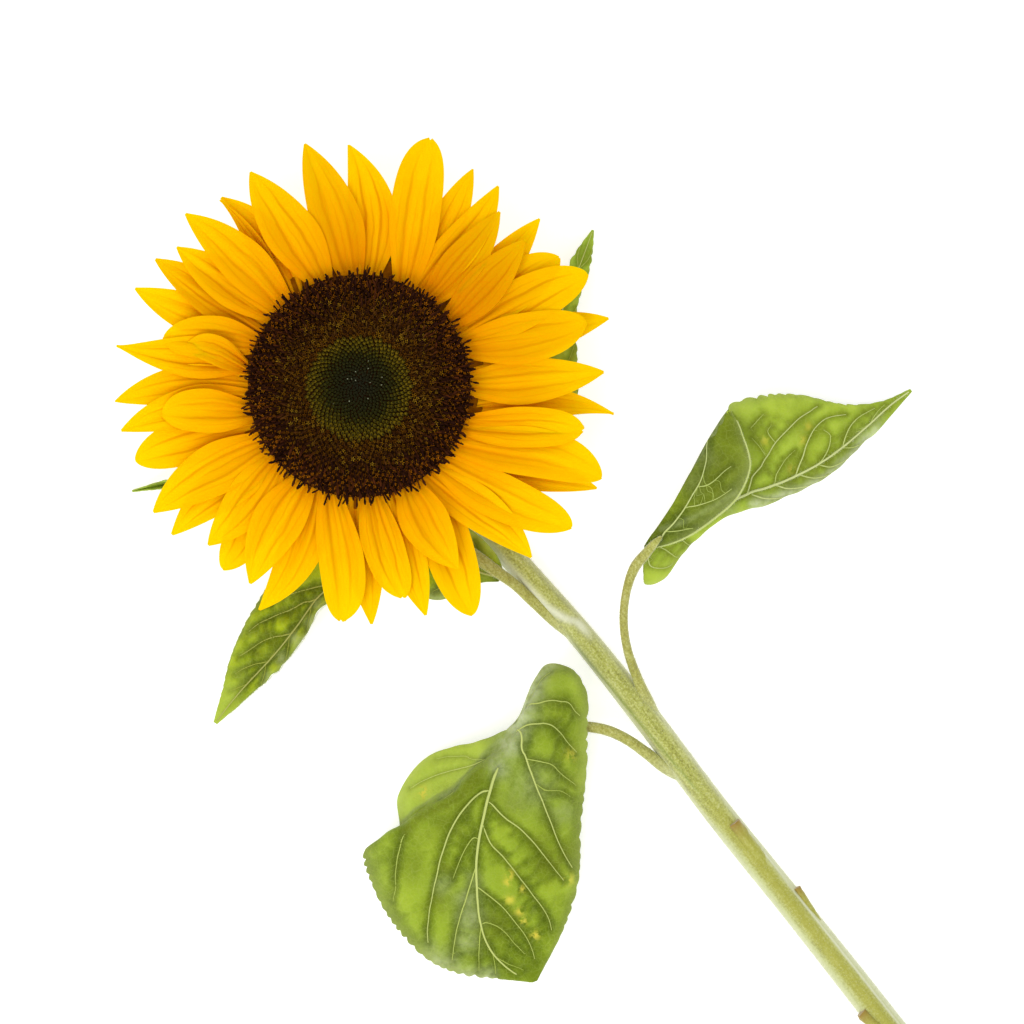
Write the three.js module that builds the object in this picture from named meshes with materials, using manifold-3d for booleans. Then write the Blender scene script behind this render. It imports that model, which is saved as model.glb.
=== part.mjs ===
// A cut sunflower that lies on a table with its face up: stem, five leaves, bracts, rays and disc.
// Millimetres, +Z up. The table is z = 0. The stem lies along -Y and bends up into the head at +Y.
// The origin is the small flat spot under the bend, on which the flower rests.

import * as THREE from "three";
import { mergeVertices } from "three/addons/utils/BufferGeometryUtils.js";
import Module from "manifold-3d";

const wasm = await Module();
wasm.setup();

// Driving dimensions
const GAP = 0.3; // clear space between two neighbouring pieces
const HEAD_Y = 14; // the head's axis, ahead of the spot that the neck rests on
const NECK_TOP = 19.7; // end of the stem under the head
const RECEPTACLE_BASE = NECK_TOP + GAP;
const RECEPTACLE_TOP = 30;
const FLORET_BASE = RECEPTACLE_TOP + GAP;
const BUD_RADIUS = 17.2; // closed buds inside, open florets outside
const DISC_RADIUS = 34.3;
const RING_INNER = DISC_RADIUS + 0.5; // ring that carries the rays
const RING_OUTER = 38;
const RING_TOP = 33.4;
const RAY_THICKNESS = 0.8;
const BRACT_THICKNESS = 0.8;
const LEAF_THICKNESS = 0.9;
const STEM_SIDES = 12;
const STEM_STEPS = 30;
const PETIOLE_SIDES = 8;
const STEPS_A_STATION = 1.6; // steps of a leaf stalk for each of its stations
const TABLE = { side: 900, depth: 20 }; // block that cuts the flat spots

// Stem centre line from the cut end to the head: x, y, height, radius
const STEM = [
  [1.5, -291, 4.65, 4.7],
  [2.4, -258, 5.4, 4.65],
  [2.7, -228, 5.8, 4.6],
  [3.0, -190, 5.9, 4.45],
  [3.0, -155, 5.7, 4.3],
  [4.2, -120, 5.3, 4.2],
  [4.4, -88, 4.8, 4.0],
  [3.3, -64, 4.3, 3.85],
  [1.5, -36, 3.9, 3.8],
  [0, -12, 3.55, 3.8],
  [0, 0, 3.55, 3.8],
  [0, 5.8, 4.5, 3.85],
  [0, 10.6, 7.4, 3.95],
  [0, 13.4, 11.6, 4.2],
  [0, HEAD_Y, 15.8, 4.7],
  [0, HEAD_Y, NECK_TOP, 5.4],
];

// Stumps of leaves that were cut off the stem: foot on the axis, end, radius at the foot and the end
const STUMPS = [
  { foot: [3, -166.5, 5.7], end: [5.4, -160.5, 11.2], radius: [2.6, 1.9] },
  { foot: [3, -193, 5.9], end: [8.6, -188, 7.6], radius: [2.2, 1.3] },
  { foot: [2.7, -235, 5.8], end: [-2.9, -229.5, 8.6], radius: [2.6, 1.9] },
];

// Rays round the head: bearing of the root, how far the middle and the tip swing aside from it,
// reach from the axis, width, and level (0 lies lowest, 4 on top). Bearings run anticlockwise
// from +X, in degrees.
const RAYS = [
  [11, -0.5, 1, 66.5, 13, 3.6], [17.5, -2.5, -1.5, 72.5, 13, 2.4], [21, 1.3, 2.4, 73, 13, 1.2],
  [28, 5.4, 7, 77, 15.5, 3], [46.5, 0.8, 7.3, 72, 16.5, 0.8], [56.5, 3.6, 7.5, 74, 16.5, 2],
  [72.5, 3.6, 6, 71.5, 17.5, 3.2], [86.5, -2.5, 1.5, 70, 12, 0], [92.5, -4.4, -4, 69.5, 6.5, 1.4],
  [95, 0.1, 2, 73, 15, 3.2], [102.5, 1.4, 2, 68.5, 14, 2.2], [112, -1.6, -2, 72, 13.5, 1.2],
  [117, 1.5, 1.3, 73.5, 14, 0.2], [121, 3.3, 6.7, 60.5, 13.5, 3], [132.5, -4.3, -3.7, 53, 9, 4],
  [129.5, 3, 2.8, 74, 14.5, 2], [142, 0, 3.3, 74, 13.5, 0.8], [149.5, 0.1, 2.8, 73, 13.5, 2],
  [155, -3.8, -5, 60, 13.5, 3.6], [162.5, -2.6, -2.4, 71.5, 14.5, 0.6], [173.5, -1.5, -0.4, 73, 16.5, 3],
  [180.5, -1.8, -0.4, 72.5, 14.5, 1.4], [185, 3, 3, 66.5, 15, 2.4], [189, 4.5, 5.5, 69.5, 13, 0.2],
  [201.5, -0.8, 1.2, 68.5, 16.5, 3.2], [209.5, 2, -2.2, 74.5, 14.5, 1.4], [217.5, 8, 9.2, 72, 14, 2.8],
  [231.5, 1.5, 2.6, 72.5, 12.5, 0.2], [237.5, 2.4, 5, 66, 12.5, 2.3], [246, 0.6, 1.2, 72.5, 13.5, 1.2],
  [256.5, 0.4, 2.6, 63, 15.5, 4], [264.5, -4.9, -7.2, 77.5, 15.5, 0.4], [269.5, 5.6, 6.4, 73.5, 14.5, 2],
  [277.5, 5.3, 9.6, 77, 14.5, 2.8], [284.5, 8.6, 12.8, 78, 13, 0.4], [291.5, 8.2, 8.6, 78, 15.5, 3.4],
  [300.5, 6, 8.8, 69, 12.5, 4], [308.5, 6.7, 5.8, 77, 12, 0], [321, 1.3, 3, 73.5, 15, 1.4],
  [332.5, 3.5, 3.5, 77.5, 14, 0], [339.5, -3.2, -2.9, 70.5, 15.5, 2.8], [346, 1.3, 1, 76, 15.5, 2],
  [352.5, 0.8, 1, 71, 15, 1.1], [357, 3.6, 6.8, 73.5, 13.5, 0.2], [356.5, 2.7, 5.4, 65.5, 13.5, 4],
];
const RAY_FOOT = 35; // radius at which a ray leaves the ring
const RAY_STATIONS = [0, 0.14, 0.34, 0.55, 0.76, 0.92, 1];
// Heights of a ray's root, of its rise and of its droop to the tip: on level 0, and more for each level
const RAY_HEIGHT = { root: [31.2, 0.5], lift: [1.0, 1.6], droop: [4.6, 0.3] };
const RAY_CUP = 1.2; // how far a ray's edges stand above its middle

// Bracts under the rays, in two rows of thirteen
const BRACTS_A_ROW = 13;
const BRACT_ROWS = [
  { root: 26, rootHeight: 24.2, reach: 49, width: 14, lift: 1.5, droop: 4.0, turn: 0 },
  { root: 29, rootHeight: 27.0, reach: 53, width: 13, lift: 2.4, droop: 3.0, turn: 0.5 },
];
const BRACT_STATIONS = [0, 0.4, 0.75, 1];
const BRACT_CUP = 0.8;
const TIP_HALF = 0.4; // half-width left at the tip of a ray or bract

// Receptacle outline, radius and height, from the neck to the rim
const RECEPTACLE = [
  [6.2, RECEPTACLE_BASE],
  [10, 20.9],
  [20, 22.4],
  [29, 24.6],
  [34.5, 27.4],
  [37, RECEPTACLE_TOP],
];
const RECEPTACLE_SIDES = 32;

// Disc relief: rings of low points, one for a floret, on a turning net
const DISC = {
  florets: { inner: BUD_RADIUS + GAP / 2, outer: DISC_RADIUS, rings: 7, sectors: 50, bump: 1.3 },
  buds: { inner: 0.7, outer: BUD_RADIUS - GAP / 2, rings: 6, sectors: 28, bump: 0.6 },
};
const DISC_TURN = 0.5; // sectors that the net turns for each ring
// Height of the disc's face at a few radii
const DISC_FACE = [
  [0, 36.2],
  [8, 36.6],
  [BUD_RADIUS, 37.3],
  [23, 38.2],
  [30, 37.2],
  [DISC_RADIUS, 35.2],
];

// Leaves. Each row goes across the blade from one margin over the rib to the other margin,
// and the rows go from the base to the tip. Points are x, y, height.
const LEAF_LOW = [
  [[-39.5, -94.9, 10], [-35.5, -95.2, 11.5], [-31, -95.8, 14], [-28.8, -96, 13.4], [-26, -96.4, 11]],
  [[-55, -87.2, 5], [-44, -92.6, 10.5], [-31.3, -96.4, 16.5], [-24, -94.6, 17], [-17, -90.6, 12]],
  [[-70, -90.8, 4], [-51, -94.6, 11], [-31.6, -97.4, 19], [-20.8, -94, 21.2], [-9.4, -87.8, 13.5]],
  [[-77, -99.5, 4.5], [-55, -98.6, 15], [-32.2, -98.6, 21.5], [-19.6, -97, 22.8], [-4.2, -94, 15.5]],
  [[-88.8, -97.6, 8.5], [-60, -100.9, 21.5], [-34, -100.2, 22.8], [-20, -100.5, 22.8], [-5.4, -102, 15.5]],
  [[-93.6, -108, 5], [-66, -106, 18], [-40.5, -103, 22], [-23.5, -105.5, 21.8], [-11.3, -109.6, 14.5]],
  [[-96, -122, 2.4], [-74.5, -117, 13], [-50, -109.5, 20], [-33, -114, 19], [-19, -119, 12]],
  [[-94.4, -136, 2], [-80, -128, 9.6], [-62, -120, 16.2], [-45, -126, 15], [-32, -132.5, 9]],
  [[-89, -146, 1.8], [-81, -139, 7.2], [-71, -133, 11], [-57.5, -139, 9.4], [-43.5, -145.5, 6.5]],
  [[-82.5, -152.6, 1.6], [-79.5, -149.5, 4], [-76.4, -146.5, 5.4], [-67, -149.5, 5], [-55, -153.5, 3.6]],
  [
    [-74.6, -160.4, 0.8], [-74.2, -160.8, 0.8], [-73.8, -161.2, 0.8],
    [-73.2, -161.4, 0.8], [-72.6, -161.6, 0.8],
  ],
];
const LEAF_RIGHT = [
  [[37, -81.5, 21], [35, -78.8, 19.4], [34, -80.5, 17], [32.6, -82.2, 15.8], [31.2, -84, 14.4]],
  [[42, -83.6, 23], [39.5, -76.8, 20.6], [37, -80, 17], [33.6, -84, 14.4], [29.4, -87.4, 11]],
  [[49, -85.2, 24.4], [45, -75.4, 21.4], [41, -80.3, 16.4], [38, -86, 12.4], [34.5, -89.6, 8.4]],
  [[57.4, -86, 24.8], [55, -71.6, 21.4], [49, -81.3, 15.4], [46.6, -86.8, 11.8], [43, -88.6, 7.4]],
  [[67, -84.4, 24.4], [65, -67.2, 20.4], [58, -82.6, 14.4], [58, -87.6, 11], [56.5, -87, 6]],
  [[75.4, -79.2, 23], [72.8, -63.8, 18.7], [67, -84.6, 13.4], [69, -90, 10], [70, -89.6, 5]],
  [[80.8, -70.6, 20.8], [79.2, -62, 17.2], [74, -86.6, 12.6], [76.5, -92.3, 9.3], [78, -91.2, 4.3]],
  [[84.8, -61.4, 15.8], [84, -74, 13.6], [82.6, -89.4, 11.4], [86, -95, 8.1], [87.5, -93.6, 3.8]],
  [[93, -64.6, 11.6], [94, -79, 12.2], [92, -91.3, 10], [94.5, -96.5, 7], [96, -94.8, 2.8]],
  [[102, -71.6, 8.4], [103, -83.5, 9.4], [102, -92.2, 8], [104, -96, 5.4], [105, -94.6, 2.2]],
  [[111.5, -83, 5], [112, -88, 6], [112, -92.2, 5.4], [113, -94.6, 4], [114, -95.2, 2.2]],
  [[121.2, -89.5, 2.6], [121.8, -90.7, 2.9], [122.2, -91.9, 2.8], [122.6, -93, 2.4], [123, -94, 1.8]],
  [[130.3, -91.9, 0.8], [130.3, -92.1, 0.8], [130.3, -92.4, 0.8], [130.3, -92.7, 0.8], [130.3, -92.9, 0.8]],
];
const LEAF_LEFT = [
  [[-4.8, -50.5, 9.6], [-6.6, -51, 9.6], [-8.4, -51.8, 9.6], [-10, -53, 9.2], [-11.6, -54.6, 8.6]],
  [[-3.4, -44.5, 9.8], [-6, -47, 9.9], [-9.3, -49.5, 10], [-13.5, -52.5, 9], [-18, -54.4, 7.6]],
  [[-5, -35, 9.2], [-7.5, -41, 9.9], [-11.5, -46, 10.4], [-17.5, -49.5, 9.4], [-24, -51.8, 8]],
  [[-10, -24, 8], [-12, -32, 9.8], [-16, -40.5, 10.8], [-23, -44, 10.4], [-29, -47.2, 10.4]],
  [[-20, -13, 6.4], [-21, -23, 9.2], [-24, -34, 11], [-29, -38.5, 11.8], [-32, -41.4, 13]],
  [[-33, -9, 5.2], [-34, -18, 8.4], [-36, -28.8, 10.6], [-38.5, -32.8, 12.4], [-39.5, -34.6, 14.6]],
  [[-47, -10.5, 4.2], [-48, -19, 7.4], [-49, -27.2, 9.6], [-50.3, -30.3, 11.6], [-51, -31.4, 14]],
  [[-61, -15.6, 3], [-61, -22.8, 6.2], [-60.9, -29, 8.2], [-61.6, -32.8, 9.8], [-61.6, -35, 11.6]],
  [[-73, -20, 2.2], [-72, -26.4, 4.8], [-71.5, -31.5, 6.4], [-72.2, -35.2, 7.6], [-72.8, -37.8, 8.8]],
  [[-84, -25.8, 1.6], [-82, -30, 3.5], [-81, -33.8, 4.5], [-81.5, -36.3, 5.2], [-82.2, -38.3, 5.8]],
  [[-92, -31.8, 1.2], [-91.2, -34, 2], [-90.5, -36, 2.5], [-91, -37.4, 2.8], [-91.6, -38.6, 2.8]],
  [[-100.2, -37.7, 0.8], [-100.1, -38, 0.8], [-100, -38.2, 0.8], [-99.9, -38.5, 0.8], [-99.8, -38.8, 0.8]],
];

// Two upper leaves stand half hidden under the head. Their rows come from a rib line, the
// half-widths on it, and how high the margins fold up for each millimetre of half-width.
const LEAF_TOP_RIB = [
  [23, -30, 10], [30, -25.5, 11], [40, -19.5, 11.6], [52, -12.5, 11],
  [64, -5.3, 8.8], [76, 1.6, 5], [85, 7, 0.8],
];
const LEAF_TOP_HALF = [2.5, 11.5, 15, 13.5, 8.5, 3.4, 0.4];
const LEAF_TOP_FOLD = 0.22;
const LEAF_SIDE_RIB = [
  [-9, -1.8, 7.6], [-19, 3.4, 8.6], [-31, 9.8, 9], [-43, 16.1, 8.4],
  [-55, 22.5, 6.8], [-66, 28.3, 4], [-75.3, 33.2, 0.8],
];
const LEAF_SIDE_HALF = [1.2, 4.6, 6.6, 6.4, 4.6, 2.4, 0.4];
const LEAF_SIDE_FOLD = 1.5;

// Leaf stalks from the stem's axis to the blade and on under the rib: x, y, height, radius
const PETIOLES = {
  leaf_low: [
    [3.6, -143, 5.4, 2.6], [-0.6, -135.5, 5.6, 2.1], [-2.6, -128, 7.2, 1.75], [-4.6, -121, 8.8, 1.65],
    [-7.8, -114.6, 9.8, 1.65], [-13, -109, 10.8, 1.65], [-20, -104.5, 12.6, 1.6], [-28, -102, 16, 1.5],
    [-35.5, -102.4, 19.6, 1.3], [-43, -105.2, 20.2, 1.1], [-51, -110.2, 18.8, 0.9], [-66, -125.5, 13.4, 0.7],
  ],
  leaf_right: [
    [4, -126, 5.4, 2.8], [8.2, -117.5, 6.2, 2.3], [9.8, -108.8, 9, 1.8], [12.7, -99.4, 12.2, 1.65],
    [17.4, -91.6, 15, 1.6], [23.8, -85.1, 16.8, 1.6], [30, -81.2, 17.2, 1.7], [36.5, -80, 16.2, 1.6],
    [49, -81.3, 14.5, 1.2], [67, -84.6, 12.7, 0.9], [92, -91.3, 9.5, 0.7],
  ],
  leaf_left: [
    [4.6, -90, 5, 2.6], [1.3, -80, 5.4, 2.1], [-0.7, -70, 6.6, 1.7], [-2.2, -62.5, 7.8, 1.6],
    [-4.6, -57, 8.6, 1.6], [-8.2, -51.8, 8.8, 1.5], [-11.6, -46, 9.6, 1.2], [-24, -34, 10.2, 1],
    [-49, -27.2, 8.9, 0.7],
  ],
  leaf_top: [
    [1.6, -50, 4.4, 2.2], [5.6, -44, 5.2, 1.7], [11, -38.5, 7.2, 1.4], [17, -33.8, 8.8, 1.3],
    [23.5, -29.8, 9.4, 1.2], [40, -19.5, 10.7, 0.9], [60, -7.7, 8.8, 0.7],
  ],
  leaf_side: [
    [0.4, -8, 4, 1.9], [-3.8, -5, 5.2, 1.5], [-9, -1.8, 7, 1.2], [-19, 3.4, 8.1, 0.9], [-43, 16.1, 8, 0.7],
  ],
};
const TOOTH = 0.9; // depth of the teeth on a leaf's margin
// Rows along each leaf, and columns on the left and the right of its rib
const LEAF_NETS = {
  leaf_low: [22, 4, 4],
  leaf_right: [28, 8, 3],
  leaf_left: [20, 3, 3],
  leaf_top: [14, 2, 2],
  leaf_side: [12, 2, 2],
};

const point = (x, y, z) => new THREE.Vector3(x, y, z);

// Closed solid from a three.js geometry, and back
function toSolid(geometry) {
  const plain = geometry.index ? geometry : mergeVertices(geometry);
  plain.deleteAttribute("normal");
  plain.deleteAttribute("uv");
  const shared = mergeVertices(plain);
  return new wasm.Manifold(new wasm.Mesh({
    numProp: 3,
    vertProperties: Float32Array.from(shared.attributes.position.array),
    triVerts: Uint32Array.from(shared.index.array),
  }));
}

function toGeometry(solid) {
  const { numProp, vertProperties, triVerts } = solid.getMesh();
  const corners = [];
  for (let i = 0; i < vertProperties.length; i += numProp) {
    corners.push(vertProperties[i], vertProperties[i + 1], vertProperties[i + 2]);
  }
  const geometry = new THREE.BufferGeometry();
  geometry.setAttribute("position", new THREE.Float32BufferAttribute(corners, 3));
  geometry.setIndex(Array.from(triVerts));
  return geometry;
}

function indexed(corners, faces) {
  const geometry = new THREE.BufferGeometry().setFromPoints(corners);
  geometry.setIndex(faces);
  return geometry;
}

// The largest connected piece, so that no scrap of a cut is left
function largest(solid) {
  return solid.decompose().reduce((a, b) => (a.volume() > b.volume() ? a : b));
}

// A closed skin over rings of points, with a fan on each end
function skin(rings) {
  const sides = rings[0].length;
  const corners = rings.flat();
  const faces = [];
  for (let i = 0; i + 1 < rings.length; i++) {
    for (let j = 0; j < sides; j++) {
      const a = i * sides + j;
      const b = i * sides + ((j + 1) % sides);
      faces.push(a, b, b + sides, a, b + sides, a + sides);
    }
  }
  const last = (rings.length - 1) * sides;
  const middle = (ring) => ring.reduce((sum, p) => sum.add(p), point(0, 0, 0)).divideScalar(sides);
  const foot = corners.push(middle(rings[0])) - 1;
  const head = corners.push(middle(rings[rings.length - 1])) - 1;
  for (let j = 0; j < sides; j++) {
    faces.push(foot, (j + 1) % sides, j);
    faces.push(head, last + j, last + ((j + 1) % sides));
  }
  return indexed(corners, faces);
}

// A tapering tube along stations of x, y, height, radius
function tube(stations, steps, sides, grow = 0) {
  const path = new THREE.CatmullRomCurve3(stations.map(([x, y, z]) => point(x, y, z)));
  const rings = [];
  const across = point(1, 0, 0);
  for (let i = 0; i <= steps; i++) {
    const t = i / steps;
    const place = t * (stations.length - 1);
    const k = Math.min(Math.floor(place), stations.length - 2);
    const radius = THREE.MathUtils.lerp(stations[k][3], stations[k + 1][3], place - k) + grow;
    const along = path.getTangent(t);
    across.addScaledVector(along, -across.dot(along)).normalize();
    const up = new THREE.Vector3().crossVectors(along, across);
    const centre = path.getPoint(t);
    rings.push(Array.from({ length: sides }, (_, j) => {
      const angle = ((j + 0.5) / sides) * 2 * Math.PI;
      return centre.clone()
        .addScaledVector(across, radius * Math.cos(angle))
        .addScaledVector(up, radius * Math.sin(angle));
    }));
  }
  return skin(rings);
}

// A thin closed blade below a net of points, split alike on both faces
function plate(top, thickness) {
  const rows = top.length;
  const columns = top[0].length;
  const clamp = (list, i) => list[Math.max(0, Math.min(list.length - 1, i))];
  const bottom = top.map((row, i) => row.map((p, j) => {
    const along = clamp(top, i + 1)[j].clone().sub(clamp(top, i - 1)[j]);
    const across = clamp(row, j + 1).clone().sub(clamp(row, j - 1));
    return p.clone().addScaledVector(across.cross(along).normalize(), -thickness);
  }));
  const at = (side, i, j) => (side * rows + i) * columns + j;
  const faces = [];
  const quad = (a, b, c, d) => faces.push(a, b, c, a, c, d);
  for (let i = 0; i + 1 < rows; i++) {
    for (let j = 0; j + 1 < columns; j++) {
      quad(at(0, i, j + 1), at(0, i + 1, j + 1), at(0, i + 1, j), at(0, i, j));
      quad(at(1, i, j + 1), at(1, i, j), at(1, i + 1, j), at(1, i + 1, j + 1));
    }
    quad(at(0, i, 0), at(0, i + 1, 0), at(1, i + 1, 0), at(1, i, 0));
    quad(at(0, i + 1, columns - 1), at(0, i, columns - 1), at(1, i, columns - 1), at(1, i + 1, columns - 1));
  }
  for (let j = 0; j + 1 < columns; j++) {
    quad(at(0, 0, j + 1), at(0, 0, j), at(1, 0, j), at(1, 0, j + 1));
    quad(at(0, rows - 1, j), at(0, rows - 1, j + 1), at(1, rows - 1, j + 1), at(1, rows - 1, j));
  }
  return indexed([...top.flat(), ...bottom.flat()], faces);
}

// Everything below the table, to cut flat spots where a piece lies on it
function table() {
  const { side, depth } = TABLE;
  return toSolid(new THREE.BoxGeometry(side, side, depth).translate(0, 0, -depth / 2));
}

function stemTube(grow) {
  return toSolid(tube(STEM, STEM_STEPS, STEM_SIDES, grow));
}

function stem() {
  let solid = stemTube(0);
  for (const { foot, end, radius } of STUMPS) {
    solid = solid.add(toSolid(tube([[...foot, radius[0]], [...end, radius[1]]], 2, PETIOLE_SIDES)));
  }
  return toGeometry(solid.subtract(table()));
}

// A net of points through a leaf's rows, evenly spaced on each side of the rib, with teeth
// on the two margins
function leafNet(cage, rows, leftColumns, rightColumns) {
  const lines = cage.map((row) => {
    const corners = row.map((p) => point(...p));
    const left = new THREE.CatmullRomCurve3(corners.slice(0, 3)).getSpacedPoints(leftColumns);
    const right = new THREE.CatmullRomCurve3(corners.slice(2)).getSpacedPoints(rightColumns);
    return [...left, ...right.slice(1)];
  });
  const along = lines[0].map((_, j) => new THREE.CatmullRomCurve3(lines.map((line) => line[j])));
  const notch = (margin, inner) => margin.lerp(inner, Math.min(0.3, TOOTH / margin.distanceTo(inner)));
  return Array.from({ length: rows + 1 }, (_, i) => {
    const row = along.map((line) => line.getPoint(i / rows));
    if (i % 2 && i > 1 && i < rows - 1) {
      notch(row[0], row[1]);
      notch(row[row.length - 1], row[row.length - 2]);
    }
    return row;
  });
}

// Rows of a leaf from its rib line, half-widths and fold
function leafRows(rib, half, fold) {
  return rib.map(([x, y, z], i) => {
    const [xa, ya] = rib[Math.max(0, i - 1)];
    const [xb, yb] = rib[Math.min(rib.length - 1, i + 1)];
    const side = new THREE.Vector2(ya - yb, xb - xa).normalize();
    return [1, 0.5, 0, -0.5, -1].map((share) => {
      const rise = fold * half[i] * Math.abs(share);
      const reach = (half[i] * share) / Math.hypot(1, fold);
      return [x + side.x * reach, y + side.y * reach, z + rise];
    });
  });
}

// A blade and its stalk in one piece, clear of the stem and flat where it lies on the table
function leaf(name, cage) {
  const blade = toSolid(plate(leafNet(cage, ...LEAF_NETS[name]), LEAF_THICKNESS));
  const stations = PETIOLES[name];
  const stalk = toSolid(tube(stations, Math.round(stations.length * STEPS_A_STATION), PETIOLE_SIDES));
  const whole = blade.add(stalk).subtract(stemTube(GAP)).subtract(table());
  return toGeometry(largest(whole));
}

// Net of one ray or bract: stations along it, with three points across each. Its centre line
// swings aside from the bearing on an arc, by "middle" degrees halfway and "tip" at the end.
function tongue({
  bearing, middle = 0, tip = 0, root, reach, width, rootHeight, lift, droop, cup, stations, outline,
}) {
  return stations.map((u) => {
    const swing = (4 * middle - tip) * u + (2 * tip - 4 * middle) * u * u;
    const angle = THREE.MathUtils.degToRad(bearing + swing);
    const radius = THREE.MathUtils.lerp(root, reach, u);
    const half = Math.max((width / 2) * outline(u), TIP_HALF);
    const height = rootHeight + lift * u - droop * u * u;
    return [1, 0, -1].map((side) => {
      const rise = side === 0 ? 0 : cup * outline(u) * Math.min(1, 3 * u);
      return point(
        radius * Math.cos(angle) - side * half * Math.sin(angle),
        HEAD_Y + radius * Math.sin(angle) + side * half * Math.cos(angle),
        height + rise,
      );
    });
  });
}

// Share of the full width along a ray or bract: what the root has, where it is widest, and how
// it closes to the tip
const swell = (root, widest, u) => root + (1 - root) * Math.sin((Math.PI / 2) * Math.min(1, u / widest));
const rayOutline = (u) => swell(0.56, 0.45, u) * (1 - u ** 4) ** 0.9;
const bractOutline = (u) => swell(0.7, 0.5, u) * (1 - u ** 1.8);

function rayFlorets() {
  const section = [
    new THREE.Vector2(RING_INNER, FLORET_BASE),
    new THREE.Vector2(RING_OUTER, FLORET_BASE),
    new THREE.Vector2(RING_OUTER, RING_TOP),
    new THREE.Vector2(RING_INNER, RING_TOP),
    new THREE.Vector2(RING_INNER, FLORET_BASE),
  ];
  const ring = upright(new THREE.LatheGeometry(section, RECEPTACLE_SIDES));
  const parts = [toSolid(ring)];
  for (const [bearing, middle, tip, reach, width, level] of RAYS) {
    const [rootHeight, lift, droop] = Object.values(RAY_HEIGHT).map(([base, rise]) => base + rise * level);
    const net = tongue({
      bearing, middle, tip, root: RAY_FOOT, reach, width, rootHeight, lift, droop,
      cup: RAY_CUP, stations: RAY_STATIONS, outline: rayOutline,
    });
    parts.push(toSolid(plate(net, RAY_THICKNESS)));
  }
  return toGeometry(wasm.Manifold.union(parts));
}

// A lathe's axis is Y in three.js: stand it up on the head's axis
function upright(lathe) {
  return lathe.rotateX(Math.PI / 2).translate(0, HEAD_Y, 0);
}

function involucre() {
  const outline = [
    new THREE.Vector2(0, RECEPTACLE_BASE),
    ...RECEPTACLE.map(([radius, height]) => new THREE.Vector2(radius, height)),
    new THREE.Vector2(0, RECEPTACLE_TOP),
  ];
  const parts = [toSolid(upright(new THREE.LatheGeometry(outline, RECEPTACLE_SIDES)))];
  for (const row of BRACT_ROWS) {
    for (let i = 0; i < BRACTS_A_ROW; i++) {
      const net = tongue({
        ...row, bearing: ((i + row.turn) * 360) / BRACTS_A_ROW,
        cup: BRACT_CUP, stations: BRACT_STATIONS, outline: bractOutline,
      });
      parts.push(toSolid(plate(net, BRACT_THICKNESS)));
    }
  }
  return toGeometry(wasm.Manifold.union(parts));
}

function discHeight(radius) {
  const k = Math.max(1, DISC_FACE.findIndex(([r]) => r >= radius));
  const [[ra, za], [rb, zb]] = [DISC_FACE[k - 1], DISC_FACE[k]];
  return THREE.MathUtils.mapLinear(radius, ra, rb, za, zb);
}

// A ring of the disc, its face a turning net of cells with one raised point each
function discRing({ inner, outer, rings, sectors, bump }) {
  const corners = [];
  const faces = [];
  const place = (radius, sector, height) => {
    const angle = (sector / sectors) * 2 * Math.PI;
    return corners.push(point(radius * Math.cos(angle), HEAD_Y + radius * Math.sin(angle), height)) - 1;
  };
  const radiusOf = (k) => THREE.MathUtils.lerp(inner, outer, k / rings);
  const net = [];
  for (let k = 0; k <= rings; k++) {
    const radius = radiusOf(k);
    const height = discHeight(radius);
    net.push(Array.from({ length: sectors }, (_, s) => place(radius, s + k * DISC_TURN, height)));
  }
  const feet = [0, rings].map((k) => Array.from({ length: sectors }, (_, s) => (
    place(radiusOf(k), s + k * DISC_TURN, FLORET_BASE)
  )));
  for (let s = 0; s < sectors; s++) {
    const n = (s + 1) % sectors;
    for (let k = 0; k < rings; k++) {
      const radius = radiusOf(k + 0.5);
      const peak = place(radius, s + 0.5 + (k + 0.5) * DISC_TURN, discHeight(radius) + bump);
      const loop = [net[k][s], net[k + 1][s], net[k + 1][n], net[k][n]];
      loop.forEach((corner, i) => faces.push(corner, loop[(i + 1) % 4], peak));
    }
    faces.push(net[0][s], net[0][n], feet[0][n], net[0][s], feet[0][n], feet[0][s]);
    faces.push(net[rings][n], net[rings][s], feet[1][s], net[rings][n], feet[1][s], feet[1][n]);
    faces.push(feet[0][s], feet[0][n], feet[1][n], feet[0][s], feet[1][n], feet[1][s]);
  }
  return indexed(corners, faces);
}

// The bud disc closes over its small inner ring
function discBuds() {
  const { inner, sectors } = DISC.buds;
  const core = new THREE.CylinderGeometry(inner + 0.5, inner + 0.5, discHeight(0) - FLORET_BASE, sectors);
  core.rotateX(Math.PI / 2).translate(0, HEAD_Y, (discHeight(0) + FLORET_BASE) / 2);
  return toGeometry(toSolid(discRing(DISC.buds)).add(toSolid(core)));
}

const topLeaf = leafRows(LEAF_TOP_RIB, LEAF_TOP_HALF, LEAF_TOP_FOLD);
const sideLeaf = leafRows(LEAF_SIDE_RIB, LEAF_SIDE_HALF, LEAF_SIDE_FOLD);
const finish = (color, roughness) => new THREE.MeshStandardMaterial({ color, roughness, metalness: 0 });
const PIECES = {
  stem: [stem(), finish(0xaeb45c, 0.7)],
  leaf_low: [leaf("leaf_low", LEAF_LOW), finish(0x8cab2c, 0.55)],
  leaf_right: [leaf("leaf_right", LEAF_RIGHT), finish(0x9dbb45, 0.6)],
  leaf_left: [leaf("leaf_left", LEAF_LEFT), finish(0x86a52a, 0.55)],
  leaf_top: [leaf("leaf_top", topLeaf), finish(0x8fae38, 0.6)],
  leaf_side: [leaf("leaf_side", sideLeaf), finish(0x8fae4a, 0.6)],
  involucre: [involucre(), finish(0x7d9a3c, 0.65)],
  ray_florets: [rayFlorets(), finish(0xffbe00, 0.5)],
  disc_florets: [toGeometry(toSolid(discRing(DISC.florets))), finish(0x4a2808, 0.8)],
  disc_buds: [discBuds(), finish(0x3c3a10, 0.75)],
};

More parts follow.
